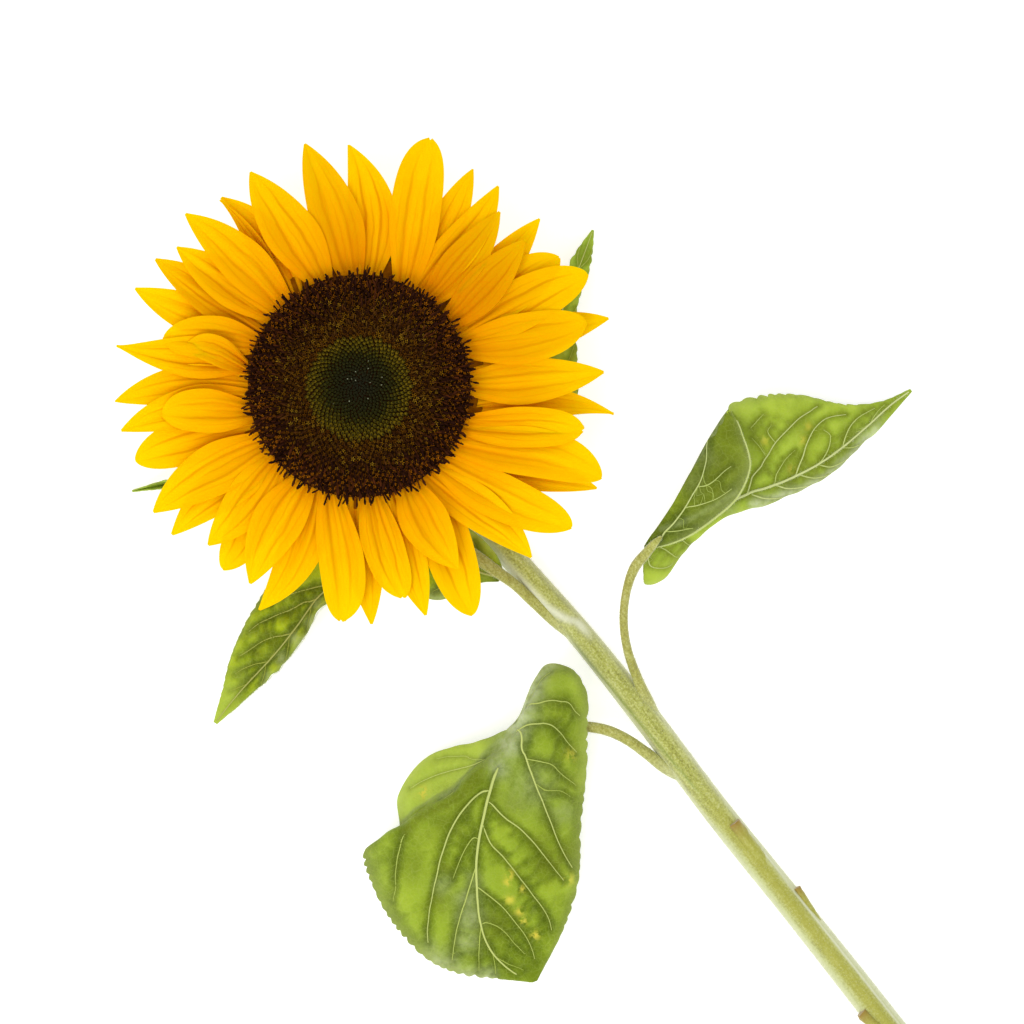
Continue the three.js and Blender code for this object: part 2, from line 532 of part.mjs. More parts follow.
const sunflower = new THREE.Group();
for (const [name, [geometry, material]] of Object.entries(PIECES)) {
  const mesh = new THREE.Mesh(geometry, material);
  mesh.name = name;
  sunflower.add(mesh);
}

export default sunflower;
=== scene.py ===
# %% [markdown]
# A cut sunflower lies face up on a pale table. The imported model gives the fixed frame: where the
# head, the stem and each leaf lie. Its solids are coarse and thick, so this lesson builds a fine
# skin for every one of them: thin pleated rays, a spiral of florets, puckered leaves with veins,
# and a ribbed, hairy stem. Each fine piece hides the solids it stands for.

# %% Load the frame
import math
from collections import namedtuple

import bpy
import numpy as np
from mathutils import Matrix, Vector, kdtree


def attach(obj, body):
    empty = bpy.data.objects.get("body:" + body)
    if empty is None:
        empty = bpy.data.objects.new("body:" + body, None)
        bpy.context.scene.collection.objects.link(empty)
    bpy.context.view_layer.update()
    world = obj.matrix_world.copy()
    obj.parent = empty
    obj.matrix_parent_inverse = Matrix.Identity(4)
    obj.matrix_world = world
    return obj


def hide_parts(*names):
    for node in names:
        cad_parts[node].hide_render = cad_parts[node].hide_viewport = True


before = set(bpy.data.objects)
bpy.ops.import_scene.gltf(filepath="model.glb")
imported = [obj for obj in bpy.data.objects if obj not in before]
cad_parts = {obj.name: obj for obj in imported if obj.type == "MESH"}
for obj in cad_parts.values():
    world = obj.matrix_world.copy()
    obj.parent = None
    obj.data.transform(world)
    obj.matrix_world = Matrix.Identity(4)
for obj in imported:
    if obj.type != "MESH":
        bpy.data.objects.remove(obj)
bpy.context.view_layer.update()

print("frame holds", sorted(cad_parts))

# %% [markdown]
# Lengths below are in millimetres, because a flower's parts are easiest to think of in them, and
# one number turns them into Blender's metres when a mesh is made. Every random draw comes from a
# generator with a fixed seed, so the flower grows the same way each time.

# %% Units and places
MM = 0.001
HEAD_Y = 14.0
NECK_TOP = 19.7
RECEPTACLE_TOP = 30.0
FLORET_BASE = 30.3
BUD_RADIUS = 15.8
BUD_SHIFT = 1.7
BUD_BEARING = math.radians(231)
DISC_RADIUS = 34.3
GOLDEN_ANGLE = math.pi * (3 - math.sqrt(5))


def draws(seed):
    return np.random.default_rng(seed)


# %% [markdown]
# The camera stands 1.5 m above the table and looks straight down through a long lens, so the
# flower shows almost no perspective. It is turned about its own axis, which lays the stem along
# the picture's diagonal.

# %% Camera
CAMERA_HEIGHT = 1500.0
CAMERA_OVER = (11.5, -44.8)
CAMERA_TURN = math.radians(-38.8)
SHARP_PLANE = 34.0
SEEN_WIDTH = 307.2
SENSOR = 36.0

camera_data = bpy.data.cameras.new("camera")
camera_data.sensor_width = SENSOR
camera_data.lens = SENSOR * (CAMERA_HEIGHT - SHARP_PLANE) / SEEN_WIDTH
camera_data.clip_start, camera_data.clip_end = 0.05, 60
camera = bpy.data.objects.new("camera", camera_data)
camera.location = (CAMERA_OVER[0] * MM, CAMERA_OVER[1] * MM, CAMERA_HEIGHT * MM)
camera.rotation_euler = (0, 0, CAMERA_TURN)
bpy.context.scene.collection.objects.link(camera)
bpy.context.scene.camera = camera
print("lens", round(camera_data.lens, 1), "mm")

# %% [markdown]
# A finish is built from shader nodes. Writing each Math node by hand hides the idea, so a small
# class wraps one output socket and turns Python's arithmetic into nodes: `1 - mask` adds a
# Subtract node. All other nodes come from `Finish.node`, which takes the node's type, its settings
# and the values or links of its sockets. A finish remembers the colour it has so far, and `over`
# lays one more colour on it, as a painter lays one glaze over another.


# %% Shader arithmetic
LIGHT_LEVEL = 1.05


def paint(*colour):
    """A colour as it looks under the studio's light, 0 to 255, in Blender's linear numbers."""
    def linear(c):
        c /= 255
        return c / 12.92 if c <= 0.04045 else ((c + 0.055) / 1.055) ** 2.4
    return (*(linear(c) / LIGHT_LEVEL for c in colour), 1.0)


def painted(colour):
    """Three numbers are paint; a link or four linear numbers stay as they are."""
    return paint(*colour) if isinstance(colour, tuple) and len(colour) == 3 else colour


class Value:
    """One output socket of a finish, with arithmetic for numbers."""

    def __init__(self, finish, socket):
        self.finish, self.socket = finish, socket

    def math(self, operation, *numbers):
        return self.finish.node("ShaderNodeMath", {"operation": operation}, dict(enumerate(numbers)))

    def __add__(self, other):
        return self.math("ADD", self, other)

    def __sub__(self, other):
        return self.math("SUBTRACT", self, other)

    def __rsub__(self, other):
        return self.math("SUBTRACT", other, self)

    def __mul__(self, other):
        return self.math("MULTIPLY", self, other)

    __radd__ = __add__

    def step(self, low, high):
        """0 below low, 1 above high, smooth between."""
        settings = {"interpolation_type": "SMOOTHSTEP"}
        return self.finish.node("ShaderNodeMapRange", settings, {0: self, 1: low, 2: high})


class Finish:
    """A node-built material with one Principled shader."""

    def __init__(self, name, **constants):
        self.material = bpy.data.materials.new(name)
        self.material.use_nodes = True
        self.tree = self.material.node_tree
        self.shader = self.tree.nodes["Principled BSDF"]
        for socket, number in constants.items():
            self.shader.inputs[socket.replace("_", " ")].default_value = number

    def node(self, kind, settings=None, inputs=None, output=0):
        made = self.tree.nodes.new(kind)
        for key, setting in (settings or {}).items():
            if key == "stops":
                self.set_stops(made.color_ramp, setting)
            else:
                setattr(made, key, setting)
        for key, given in (inputs or {}).items():
            if isinstance(given, Value):
                self.tree.links.new(given.socket, made.inputs[key])
            else:
                made.inputs[key].default_value = given
        return Value(self, made.outputs[output])

    @staticmethod
    def set_stops(ramp, stops):
        while len(ramp.elements) < len(stops):
            ramp.elements.new(0.5)
        for element, (place, colour) in zip(ramp.elements, stops):
            element.position, element.color = place, colour

    def marks(self, *names):
        """Numbers that the mesh carries at each point."""
        return [self.node("ShaderNodeAttribute", {"attribute_name": name}, output=2) for name in names]

    def mark(self, name):
        return self.marks(name)[0]

    def ramp(self, amount, *stops):
        """Colours by amount; a stop is its place and its paint."""
        stops = [(place, paint(*colour)) for place, *colour in stops]
        return self.node("ShaderNodeValToRGB", {"stops": stops}, {0: amount})

    def blend(self, amount, first, second, mode="MIX"):
        settings = {"data_type": "RGBA", "blend_type": mode}
        inputs = {0: amount, 6: painted(first), 7: painted(second)}
        return self.node("ShaderNodeMix", settings, inputs, 2)

    def coat(self, colour):
        """Makes this the finish's colour so far."""
        self.colour = colour
        self.use(Base_Color=colour)

    def over(self, amount, colour, mode="MIX"):
        """Lays a colour on the finish where the amount is high."""
        self.coat(self.blend(amount, self.colour, colour, mode))

    def beneath(self, amount, colour):
        """Shows another colour where the amount is low."""
        self.coat(self.blend(amount, colour, self.colour))

    def xyz(self, *numbers):
        return self.node("ShaderNodeCombineXYZ", None, dict(enumerate(numbers)))

    def place(self):
        """Where a point lies on the object, in millimetres."""
        spot = self.node("ShaderNodeTexCoord", output=3)
        return self.node("ShaderNodeVectorMath", {"operation": "SCALE"}, {0: spot, 3: 1 / MM})

    def noise(self, where, scale, detail=2.0, rough=0.5):
        inputs = {"Vector": where, "Scale": scale, "Detail": detail, "Roughness": rough}
        return self.node("ShaderNodeTexNoise", None, inputs)

    def use(self, **links):
        for socket, value in links.items():
            self.tree.links.new(value.socket, self.shader.inputs[socket.replace("_", " ")])

    def bump(self, height, depth, strength):
        """A bump of so many millimetres feeds the shader's normal."""
        inputs = {"Strength": strength, "Distance": depth * MM, "Height": height}
        self.use(Normal=self.node("ShaderNodeBump", None, inputs))


def grained(name, scale, first, second, **constants):
    """A finish that wanders between two colours."""
    finish = Finish(name, **constants)
    finish.coat(finish.blend(finish.noise(finish.place(), scale, 3), first, second))
    return finish


# %% [markdown]
# The studio is a pale table under a white sky, with one large soft lamp low on the left and a weaker
# one opposite. The sky keeps the yellow bright and the shadows faint. The lamp's slant brings out the
# creases of the petals and the quilting of the leaves, which light from above alone would flatten.
# The table glows a little, as a light table does, so the flower's shadow stays faint on it.

# %% Studio
FLOOR_SIZE = 12.0
FLOOR_GAP = 0.05
SKY = 0.86
LAMPS = [
    ("key_lamp", (-0.95, -0.35, 1.4), 1.2, 12.0),
    ("fill_lamp", (0.9, 0.9, 1.3), 1.4, 2.5),
]
TABLE_GLOW = 0.5

bpy.context.scene.view_settings.view_transform = "Standard"
world = bpy.data.worlds.new("studio")
world.use_nodes = True
background = world.node_tree.nodes["Background"].inputs
background["Color"].default_value = (1, 1, 1, 1)
background["Strength"].default_value = SKY
bpy.context.scene.world = world

for lamp_name, lamp_spot, lamp_size, lamp_power in LAMPS:
    lamp_data = bpy.data.lights.new(lamp_name, "AREA")
    lamp_data.shape, lamp_data.size, lamp_data.energy = "DISK", lamp_size, lamp_power
    lamp = bpy.data.objects.new(lamp_name, lamp_data)
    lamp.location = lamp_spot
    lamp.rotation_euler = (-Vector(lamp_spot)).to_track_quat("-Z", "Y").to_euler()
    bpy.context.scene.collection.objects.link(lamp)

floor_mesh = bpy.data.meshes.new("floor")
floor_ends = ((-1, -1), (1, -1), (1, 1), (-1, 1))
floor_corners = [(x * FLOOR_SIZE / 2, y * FLOOR_SIZE / 2, 0) for x, y in floor_ends]
floor_mesh.from_pydata(floor_corners, [], [(0, 1, 2, 3)])
floor = bpy.data.objects.new("floor", floor_mesh)
floor.location.z = -FLOOR_GAP * MM
bpy.context.scene.collection.objects.link(floor)
paper = grained(
    "pale_table", 0.4, (0.77, 0.77, 0.77, 1), (0.81, 0.81, 0.81, 1),
    Roughness=1.0, Specular_IOR_Level=0.0, Emission_Strength=TABLE_GLOW,
)
floor_mesh.materials.append(paper.material)

# %% [markdown]
# Every piece is built from arrays of points, because a flower has thousands of like parts and numpy
# places them all at once. A `Shape` holds points, faces and marks: a mark is a number at each point
# that a finish can read, such as how far along its petal the point lies. Where a shape lacks a mark
# that another shape of its piece has, the mark is 0. `make_piece` joins shapes into one mesh, gives
# it its finishes and puts it on the frame.


# %% Shapes and pieces
SHARP_CORNER = math.radians(62)


class Shape:
    """Points and faces that wait to be joined into one piece."""

    def __init__(self, points, faces, finish=0, **marks):
        self.points = np.asarray(points, float).reshape(-1, 3)
        self.faces = [np.asarray(f, int) for f in faces]
        self.finish = finish
        self.marks = {name: np.broadcast_to(value, len(self.points)) for name, value in marks.items()}


def fill_mesh(mesh, shapes):
    points, corners, sizes, finishes, offset = [], [], [], [], 0
    for shape in shapes:
        points.append(shape.points)
        for faces in shape.faces:
            corners.append((faces + offset).ravel())
            sizes.append(np.full(len(faces), faces.shape[1]))
            finishes.append(np.full(len(faces), shape.finish))
        offset += len(shape.points)
    points, corners = np.concatenate(points) * MM, np.concatenate(corners)
    sizes, finishes = np.concatenate(sizes), np.concatenate(finishes)
    mesh.vertices.add(len(points))
    mesh.vertices.foreach_set("co", points.ravel())
    mesh.loops.add(len(corners))
    mesh.loops.foreach_set("vertex_index", corners)
    mesh.polygons.add(len(sizes))
    mesh.polygons.foreach_set("loop_start", np.concatenate([[0], np.cumsum(sizes)[:-1]]))
    mesh.polygons.foreach_set("material_index", finishes)
    mesh.update(calc_edges=True)
    for name in sorted({name for shape in shapes for name in shape.marks}):
        values = np.concatenate([shape.marks.get(name, np.zeros(len(shape.points))) for shape in shapes])
        mesh.attributes.new(name, "FLOAT", "POINT").data.foreach_set("value", values.astype(np.float32))
    mesh.shade_smooth()
    mesh.set_sharp_from_angle(angle=SHARP_CORNER)
    return int(np.sum(sizes - 2))


def make_piece(name, shapes, finishes, slot, *nodes):
    mesh = bpy.data.meshes.new(name)
    triangles = fill_mesh(mesh, shapes)
    for finish in finishes:
        mesh.materials.append(finish.material)
    piece = bpy.data.objects.new(name, mesh)
    bpy.context.scene.collection.objects.link(piece)
    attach(piece, "root")
    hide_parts(*nodes)
    print(f"{name}: {triangles} triangles")


# %% [markdown]
# Three building blocks make nearly everything. A shell is a thin closed body between two grids of
# points, for petals and leaves. A tube follows a path, for the stem, stalks and veins. Scatter sets
# many copies of a small template, for florets and hairs.


# %% Shells, tubes and scattered copies
def grid_faces(rows, columns):
    corner = np.arange(rows * columns).reshape(rows, columns)
    quads = [corner[:-1, 1:], corner[1:, 1:], corner[1:, :-1], corner[:-1, :-1]]
    return np.stack(quads, axis=-1).reshape(-1, 4)


def shell(front, back, finish, front_marks, back_marks):
    """Closed body between two grids; the front looks along across x along."""
    rows, columns = front.shape[:2]
    count = rows * columns
    corner = np.arange(count).reshape(rows, columns)
    rim = np.concatenate([corner[0, ::-1], corner[1:, 0], corner[-1, 1:], corner[-2:0:-1, -1]])
    ahead = np.roll(rim, -1)
    walls = np.stack([rim, ahead, ahead + count, rim + count], axis=-1)
    faces = [grid_faces(rows, columns), grid_faces(rows, columns)[:, ::-1] + count, walls]
    marks = {}
    for name in front_marks:
        both = [np.broadcast_to(side[name], (rows, columns)).ravel() for side in (front_marks, back_marks)]
        marks[name] = np.concatenate(both)
    return Shape(np.concatenate([front.reshape(-1, 3), back.reshape(-1, 3)]), faces, finish, **marks)


def unit(vectors):
    return vectors / np.maximum(np.linalg.norm(vectors, axis=-1, keepdims=True), 1e-9)


def around(sides):
    return np.arange(sides) / sides * 2 * math.pi


def ring_frames(path):
    """Two directions across a path at each of its points, carried along without twisting."""
    along = unit(np.gradient(path, axis=0))
    across = np.zeros_like(path)
    carried = np.array([1.0, 0.0, 0.0])
    for i, direction in enumerate(along):
        carried = unit(carried - direction * (carried @ direction))
        across[i] = carried
    return across, np.cross(along, across), along


def tube(path, radii, sides, finish=0, shape=1.0, **marks):
    """Closed tube; `shape` may scale the radius by ring and side."""
    across, up, _ = ring_frames(path)
    angle = around(sides)[:, None]
    circle = across[:, None] * np.cos(angle) + up[:, None] * np.sin(angle)
    reach = np.reshape(radii, (-1, 1)) * np.broadcast_to(shape, (len(path), sides))
    corner = np.arange(len(path) * sides).reshape(len(path), sides)
    beside = np.roll(corner, -1, axis=1)
    walls = np.stack([corner[:-1], beside[:-1], beside[1:], corner[1:]], axis=-1).reshape(-1, 4)
    ends = np.stack([corner[0, ::-1], corner[-1]])
    spread = {}
    for name, value in marks.items():
        value = np.reshape(value, (-1, 1)) if np.ndim(value) == 1 else value
        spread[name] = np.broadcast_to(value, (len(path), sides)).ravel()
    return Shape(path[:, None] + reach[..., None] * circle, [walls, ends], finish, **spread)


def scatter(model, places, frames, sizes, finish=0, **marks):
    """Copies of a template (points, faces, marks) at places, turned by 3x3 frames."""
    points, faces, own_marks = model
    count = len(places)
    placed = np.einsum("nij,pj->npi", frames, points) * sizes[:, None, None] + places[:, None]
    shift = (np.arange(count) * len(points))[:, None, None]
    moved = [(f + shift).reshape(-1, f.shape[1]) for f in faces]
    spread = {name: np.tile(value, count) for name, value in own_marks.items()}
    for name, value in marks.items():
        spread[name] = np.repeat(np.broadcast_to(value, count), len(points))
    return Shape(placed, moved, finish, **spread)


def frames_from(up, forward):
    """Frames whose third axis is `up` and whose first leans towards `forward`."""
    up = unit(up)
    first = unit(forward - up * np.sum(forward * up, axis=-1, keepdims=True))
    return np.stack([first, np.cross(up, first), up], axis=-1)


def spindle(profile, sides):
    """Template turned about Z from (radius, height) pairs, closed at both ends."""
    profile = np.asarray(profile, float)
    angle, flat = around(sides), np.ones(sides)
    rings = [np.stack([r * np.cos(angle), r * np.sin(angle), h * flat], axis=-1) for r, h in profile[1:-1]]
    points = np.concatenate([[(0, 0, profile[0, 1])], *rings, [(0, 0, profile[-1, 1])]])
    side = np.arange(sides) + 1
    beside, bottom, last = np.roll(side, -1), 0 * side, (len(rings) - 1) * sides
    top = bottom + len(points) - 1
    caps = [np.stack([bottom, beside, side], -1), np.stack([top, last + side, last + beside], -1)]
    band = np.stack([side, beside, sides + beside, sides + side], -1)
    bands = [band + k * sides for k in range(len(rings) - 1)]
    height = (points[:, 2] - profile[0, 1]) / (profile[-1, 1] - profile[0, 1])
    return points, [np.concatenate(caps), np.concatenate(bands)], {"height": height}


# %% [markdown]
# Curves and sheets go through their given points on Catmull-Rom splines, the same kind that shaped
# the solids, so the fine pieces follow them closely. The knots are spaced by the square root of the
# distance between points, which keeps the curve from overshooting where points crowd together.


# %% Smooth curves
CURVE_STEPS = 240


def smooth(points, places):
    """Points of a centripetal Catmull-Rom spline; places run from 0 to the last point's number."""
    def knot(a, b):
        return np.sqrt(np.maximum(np.linalg.norm(b - a, axis=-1, keepdims=True), 1e-4))

    points, places = np.asarray(points, float), np.asarray(places, float)
    start = np.minimum(places.astype(int), len(points) - 2)
    share = (places - start).reshape((-1,) + (1,) * (points.ndim - 1))
    padded = np.concatenate([[2 * points[0] - points[1]], points, [2 * points[-1] - points[-2]]])
    p0, p1, p2, p3 = (padded[start + i] for i in range(4))
    d0, d1, d2 = knot(p0, p1), knot(p1, p2), knot(p2, p3)
    leave = ((p1 - p0) / d0 - (p2 - p0) / (d0 + d1) + (p2 - p1) / d1) * d1
    arrive = ((p2 - p1) / d1 - (p3 - p1) / (d1 + d2) + (p3 - p2) / d2) * d1
    bow = (3 * (p2 - p1) - 2 * leave - arrive) * share**2
    return p1 + leave * share + bow + (2 * (p1 - p2) + leave + arrive) * share**3


def run_along(path):
    """Length of a path up to each of its points."""
    return np.concatenate([[0], np.cumsum(np.linalg.norm(np.diff(path, axis=0), axis=1))])


def evenly(points, count):
    """count + 1 points spaced evenly along the smooth curve through some points."""
    dense = smooth(points, np.linspace(0, len(points) - 1, CURVE_STEPS + 1))
    run = run_along(dense)
    wanted = np.linspace(0, run[-1], count + 1)
    return np.stack([np.interp(wanted, run, dense[:, i]) for i in range(dense.shape[1])], axis=1)


def length_of(path):
    return np.sum(np.linalg.norm(np.diff(path, axis=0), axis=1))


def hump(x, width):
    """A smooth rise to 1 at x = 0 that is low beyond its width."""
    return np.exp(-((x / width) ** 2))


# %% [markdown]
# The ray florets are what most people call the petals. Each is a strap about 0.3 mm thick, with two
# or three lengthwise creases and a tip that is pointed, blunt, notched or drawn out to a tail. They
# spring from the disc's rim at several heights, so each lies over some neighbours and under others.
# They could be copies of one petal, but then the eye finds the repeat at once. A list costs little:
# the bearing of the root, how far the middle and the tip swing aside, the reach from the head's axis,
# the width, the level from lowest (0) to highest (4), the painted shade from bright (0) to deep (1),
# the tip.

# %% Ray florets: the list
POINTED, BLUNT, NOTCHED, DRAWN = range(4)
Ray = namedtuple("Ray", "bearing middle tip reach width level shade kind")
RAYS = [Ray(*ray) for ray in (
    (11, -0.5, 1, 66.5, 13, 3.6, 0.85, POINTED), (17.5, -2.5, -1.5, 72.5, 13, 2.4, 0.35, POINTED),
    (21, 1.3, 2.4, 73, 13, 1.2, 0.3, POINTED), (28, 5.4, 7, 77, 15.5, 3, 0.25, NOTCHED),
    (46.5, 0.8, 7.3, 72, 16.5, 0.8, 0.2, POINTED), (56.5, 3.6, 7.5, 74, 16.5, 2, 0.6, POINTED),
    (72.5, 3.6, 6, 71.5, 17.5, 3.2, 0.35, POINTED), (86.5, -2.5, 1.5, 70, 12, 0, 0.2, POINTED),
    (92.5, -4.4, -4, 69.5, 6.5, 1.4, 0.7, DRAWN), (95, 0.1, 2, 73, 15, 3.2, 0.3, POINTED),
    (102.5, 1.4, 2, 68.5, 14, 2.2, 0.3, POINTED), (112, -1.6, -2, 72, 13.5, 1.2, 0.7, POINTED),
    (117, 1.5, 1.3, 73.5, 14, 0.2, 0.1, POINTED), (121, 3.3, 6.7, 60.5, 13.5, 3, 0.35, BLUNT),
    (132.5, -4.3, -3.7, 53, 9, 4, 0.6, BLUNT), (129.5, 3, 2.8, 74, 14.5, 2, 0.15, DRAWN),
    (142, 0, 3.3, 74, 13.5, 0.8, 0.25, POINTED), (149.5, 0.1, 2.8, 73, 13.5, 2, 0.1, POINTED),
    (155, -3.8, -5, 60, 13.5, 3.6, 0.25, BLUNT), (162.5, -2.6, -2.4, 71.5, 14.5, 0.6, 0.1, BLUNT),
    (173.5, -1.5, -0.4, 73, 16.5, 3, 0.1, POINTED), (180.5, -1.8, -0.4, 72.5, 14.5, 1.4, 0, POINTED),
    (185, 3, 3, 66.5, 15, 2.4, 0.05, POINTED), (189, 4.5, 5.5, 69.5, 13, 0.2, 0, BLUNT),
    (201.5, -0.8, 1.2, 68.5, 16.5, 3.2, 0.1, POINTED), (209.5, 2, -2.2, 74.5, 14.5, 1.4, 0.15, POINTED),
    (217.5, 8, 9.2, 72, 14, 2.8, 0.2, NOTCHED), (231.5, 1.5, 2.6, 72.5, 12.5, 0.2, 0.25, POINTED),
    (237.5, 2.4, 5, 66, 12.5, 2.3, 0.25, NOTCHED), (246, 0.6, 1.2, 72.5, 13.5, 1.2, 0.2, POINTED),
    (256.5, 0.4, 2.6, 63, 15.5, 4, 0.5, POINTED), (264.5, -4.9, -7.2, 77.5, 15.5, 0.4, 0.3, BLUNT),
    (269.5, 5.6, 6.4, 73.5, 14.5, 2, 0.25, POINTED), (277.5, 5.3, 9.6, 77, 14.5, 2.8, 0.25, BLUNT),
    (284.5, 8.6, 12.8, 78, 13, 0.4, 0.45, POINTED), (291.5, 8.2, 8.6, 78, 15.5, 3.4, 0.25, BLUNT),
    (300.5, 6, 8.8, 69, 12.5, 4, 0.35, NOTCHED), (308.5, 6.7, 5.8, 77, 12, 0, 0.3, DRAWN),
    (321, 1.3, 3, 73.5, 15, 1.4, 0.25, POINTED), (332.5, 3.5, 3.5, 77.5, 14, 0, 0.2, POINTED),
    (339.5, -3.2, -2.9, 70.5, 15.5, 2.8, 0.45, BLUNT), (346, 1.3, 1, 76, 15.5, 2, 0.35, BLUNT),
    (352.5, 0.8, 1, 71, 15, 1.1, 0.2, BLUNT), (357, 3.6, 6.8, 73.5, 13.5, 0.2, 0.1, POINTED),
    (356.5, 2.7, 5.4, 65.5, 13.5, 4, 1.0, POINTED),
)]
RAY_FOOT = 35.0
RAY_THICKNESS = 0.32
RAY_START = -0.06
RAY_ROWS, RAY_COLUMNS = 36, 30
RAY_CUP = 1.2
print(len(RAYS), "rays")

# %% [markdown]
# A ray is a grid: rows run from the root to the tip, columns run across. One formula gives the
# outline, and how fast it closes makes the kind of tip. Broad waves and two or three sharp creases
# run along it, deepest near the root, where the petal was folded in the bud.

# %% Ray florets: the form
# How sharply and how fully each kind of tip closes, and the share of the width left at its end
TIPS = {
    POINTED: (3.0, 0.95, 0.03), BLUNT: (5.0, 0.7, 0.04),
    NOTCHED: (6.0, 0.8, 0.13), DRAWN: (2.6, 1.3, 0.03),
}
# Where each crease lies across the ray, how deep it is, and how far along it fades out
CREASES = [(-0.34, 1.0, 0.75), (0.33, 1.0, 0.75), (0.02, 0.6, 0.5)]
CREASE_DEPTH = 0.45
CREASE_WIDTH = 0.09
WAVE_HEIGHT = 0.42
THINNEST = 0.3


def ray_outline(along, kind):
    swell = 0.56 + 0.44 * np.sin(math.pi / 2 * np.minimum(1, along / 0.45))
    power, closing, end = TIPS[kind]
    return swell * (end + (1 - end) * np.maximum(1 - along**power, 0) ** closing)


def ray_bearing(ray, along):
    """Bearing of the centre line, which swings aside on an arc through the middle and the tip."""
    bend = (4 * ray.middle - ray.tip) * along + (2 * ray.tip - 4 * ray.middle) * along**2
    return np.radians(ray.bearing + bend)


def ray_height(ray, along):
    root, lift, droop = 31.2 + 0.5 * ray.level, 1.0 + 1.6 * ray.level, 4.6 + 0.3 * ray.level
    return root + lift * along - droop * along**2


def ray_grid(ray, chance):
    along = 1 - (1 - RAY_START) * (1 - np.linspace(0, 1, RAY_ROWS + 1)) ** 1.4
    across = np.linspace(-1, 1, RAY_COLUMNS + 1)
    u, v = np.meshgrid(along, across, indexing="ij")
    phase, twist, lean = chance.uniform(0, 6.28), chance.normal(0, 0.05), chance.normal(0, 0.05)
    ruffle, curl = chance.uniform(0.2, 0.7), chance.normal(0, 0.5)
    shifts = chance.normal(0, 0.05, len(CREASES))
    end = u - (0.020 * hump(v, 0.35) + 0.015 * v**2) * u**14 * (ray.kind == NOTCHED)
    half = np.maximum(ray.width / 2 * ray_outline(u, ray.kind), THINNEST)
    tilt = twist * np.sin(math.pi * u * 0.9) + lean * u
    wave = WAVE_HEIGHT * (1 - u**3) * np.cos(2.1 * math.pi * v + phase) * (1 - v**4)
    ruffle = 0.45 * ruffle * np.sin(6 * u + phase + v) * u * v * v
    crease = np.zeros_like(u)
    for (place, depth, fade), shift in zip(CREASES, shifts):
        wander = (place + shift) * (1 - 0.25 * u) + 0.03 * np.sin(5 * u + phase)
        crease += depth * hump(v - wander, CREASE_WIDTH) * np.clip(1 - u / fade, 0, 1) ** 0.6
    rise = RAY_CUP * ray_outline(u, ray.kind) * np.minimum(1, 3 * u) * np.abs(v) ** 1.5
    height = ray_height(ray, u) + rise + wave + ruffle - CREASE_DEPTH * crease
    height = height + v * half * np.sin(tilt) + curl * u**4
    angle, radius = ray_bearing(ray, u), RAY_FOOT + (ray.reach - RAY_FOOT) * end
    side = v * half * np.cos(tilt)
    x = radius * np.cos(angle) + side * np.sin(angle)
    y = HEAD_Y + radius * np.sin(angle) - side * np.cos(angle)
    return np.stack([x, y, height], axis=-1), u, v, crease


def grid_normals(grid):
    return unit(np.cross(np.gradient(grid, axis=1), np.gradient(grid, axis=0)))


# %% [markdown]
# A petal is thin enough to glow. Where one lies alone against the bright table it looks lemon, and
# where another lies under it the light is held back and it turns orange, so the hidden outline
# shows through. A see-through shader would do this in one renderer only. Measuring it works
# everywhere: each point asks how many lower rays lie under it and carries the answer as a mark.

# %% Ray florets: what lies beneath
SOFT_EDGE = 0.9
HELD_BACK = 0.75
SHADED_SIDE = math.radians(51)
SHADED_MORE = 0.35


def cover(ray, x, y):
    """1 where a ray lies over a place, 0 beside it, with a soft edge."""
    radius, bearing = np.hypot(x, y - HEAD_Y), np.arctan2(y - HEAD_Y, x)
    along = np.clip((radius - RAY_FOOT) / (ray.reach - RAY_FOOT), 0, 1)
    turn = bearing - ray_bearing(ray, along)
    aside = np.abs(np.arctan2(np.sin(turn), np.cos(turn))) * radius
    inside = ray.width / 2 * ray_outline(along, ray.kind) - aside
    return np.clip(0.5 + inside / SOFT_EDGE, 0, 1) * np.clip((ray.reach - radius) / SOFT_EDGE, 0, 1)


def backing(ray, grid):
    bare = np.ones(grid.shape[:2])
    for other in RAYS:
        if other.level < ray.level:
            bare *= 1 - HELD_BACK * cover(other, grid[..., 0], grid[..., 1])
    return 1 - bare


def ray_shape(ray, chance):
    grid, u, v, crease = ray_grid(ray, chance)
    back = grid - grid_normals(grid) * RAY_THICKNESS
    # Painted shade, stronger on the side of the head that lies in shade.
    shade = ray.shade * (1 + SHADED_MORE * math.cos(math.radians(ray.bearing) - SHADED_SIDE))
    marks = {
        "along": u, "across": v, "crease": crease, "backed": backing(ray, grid),
        "shade": shade, "chance": chance.uniform(),
    }
    return shell(grid, back, 0, marks, marks)


# %% [markdown]
# The finish reads those marks. The colour runs from orange at the root to lemon at the tip. Painted
# shade darkens it in the creases, in patches near the root and by each ray's shade mark, and it
# deepens where the petal is backed, as light held back there would make it. Fine nerves run its
# whole length: they are noise stretched along the petal, so they bend and narrow with it. A little
# light scatters inside.

# %% Ray florets: the finish
# Tints for painted light held back under a backing ray, and for painted shade.
BACKED_TINT = (0.99, 0.875, 0.5, 1.0)
SHADE_TINT = (0.74, 0.64, 0.5, 1.0)
ray_finish = Finish(
    "ray_yellow", Roughness=0.7, Specular_IOR_Level=0.01, Subsurface_Weight=0.25,
    Subsurface_Radius=(1.0, 0.42, 0.02), Subsurface_Scale=0.0009,
)
ray_along, ray_across, ray_painted_shade, ray_chance = ray_finish.marks("along", "across", "shade", "chance")
nerve_place = ray_finish.xyz(ray_across * 8.0 + ray_chance * 90.0, ray_along * 1.2, ray_chance * 30.0)
nerves = ray_finish.noise(nerve_place, 1.4, 4, 0.6)
soft_patches = ray_finish.noise(ray_finish.place(), 0.11, 2)
ray_finish.coat(ray_finish.ramp(
    ray_along + (soft_patches - 0.5) * 0.35,
    (0.0, 255, 172, 0), (0.16, 255, 181, 0), (0.45, 255, 193, 0), (0.8, 255, 204, 0), (1.0, 255, 211, 0),
))
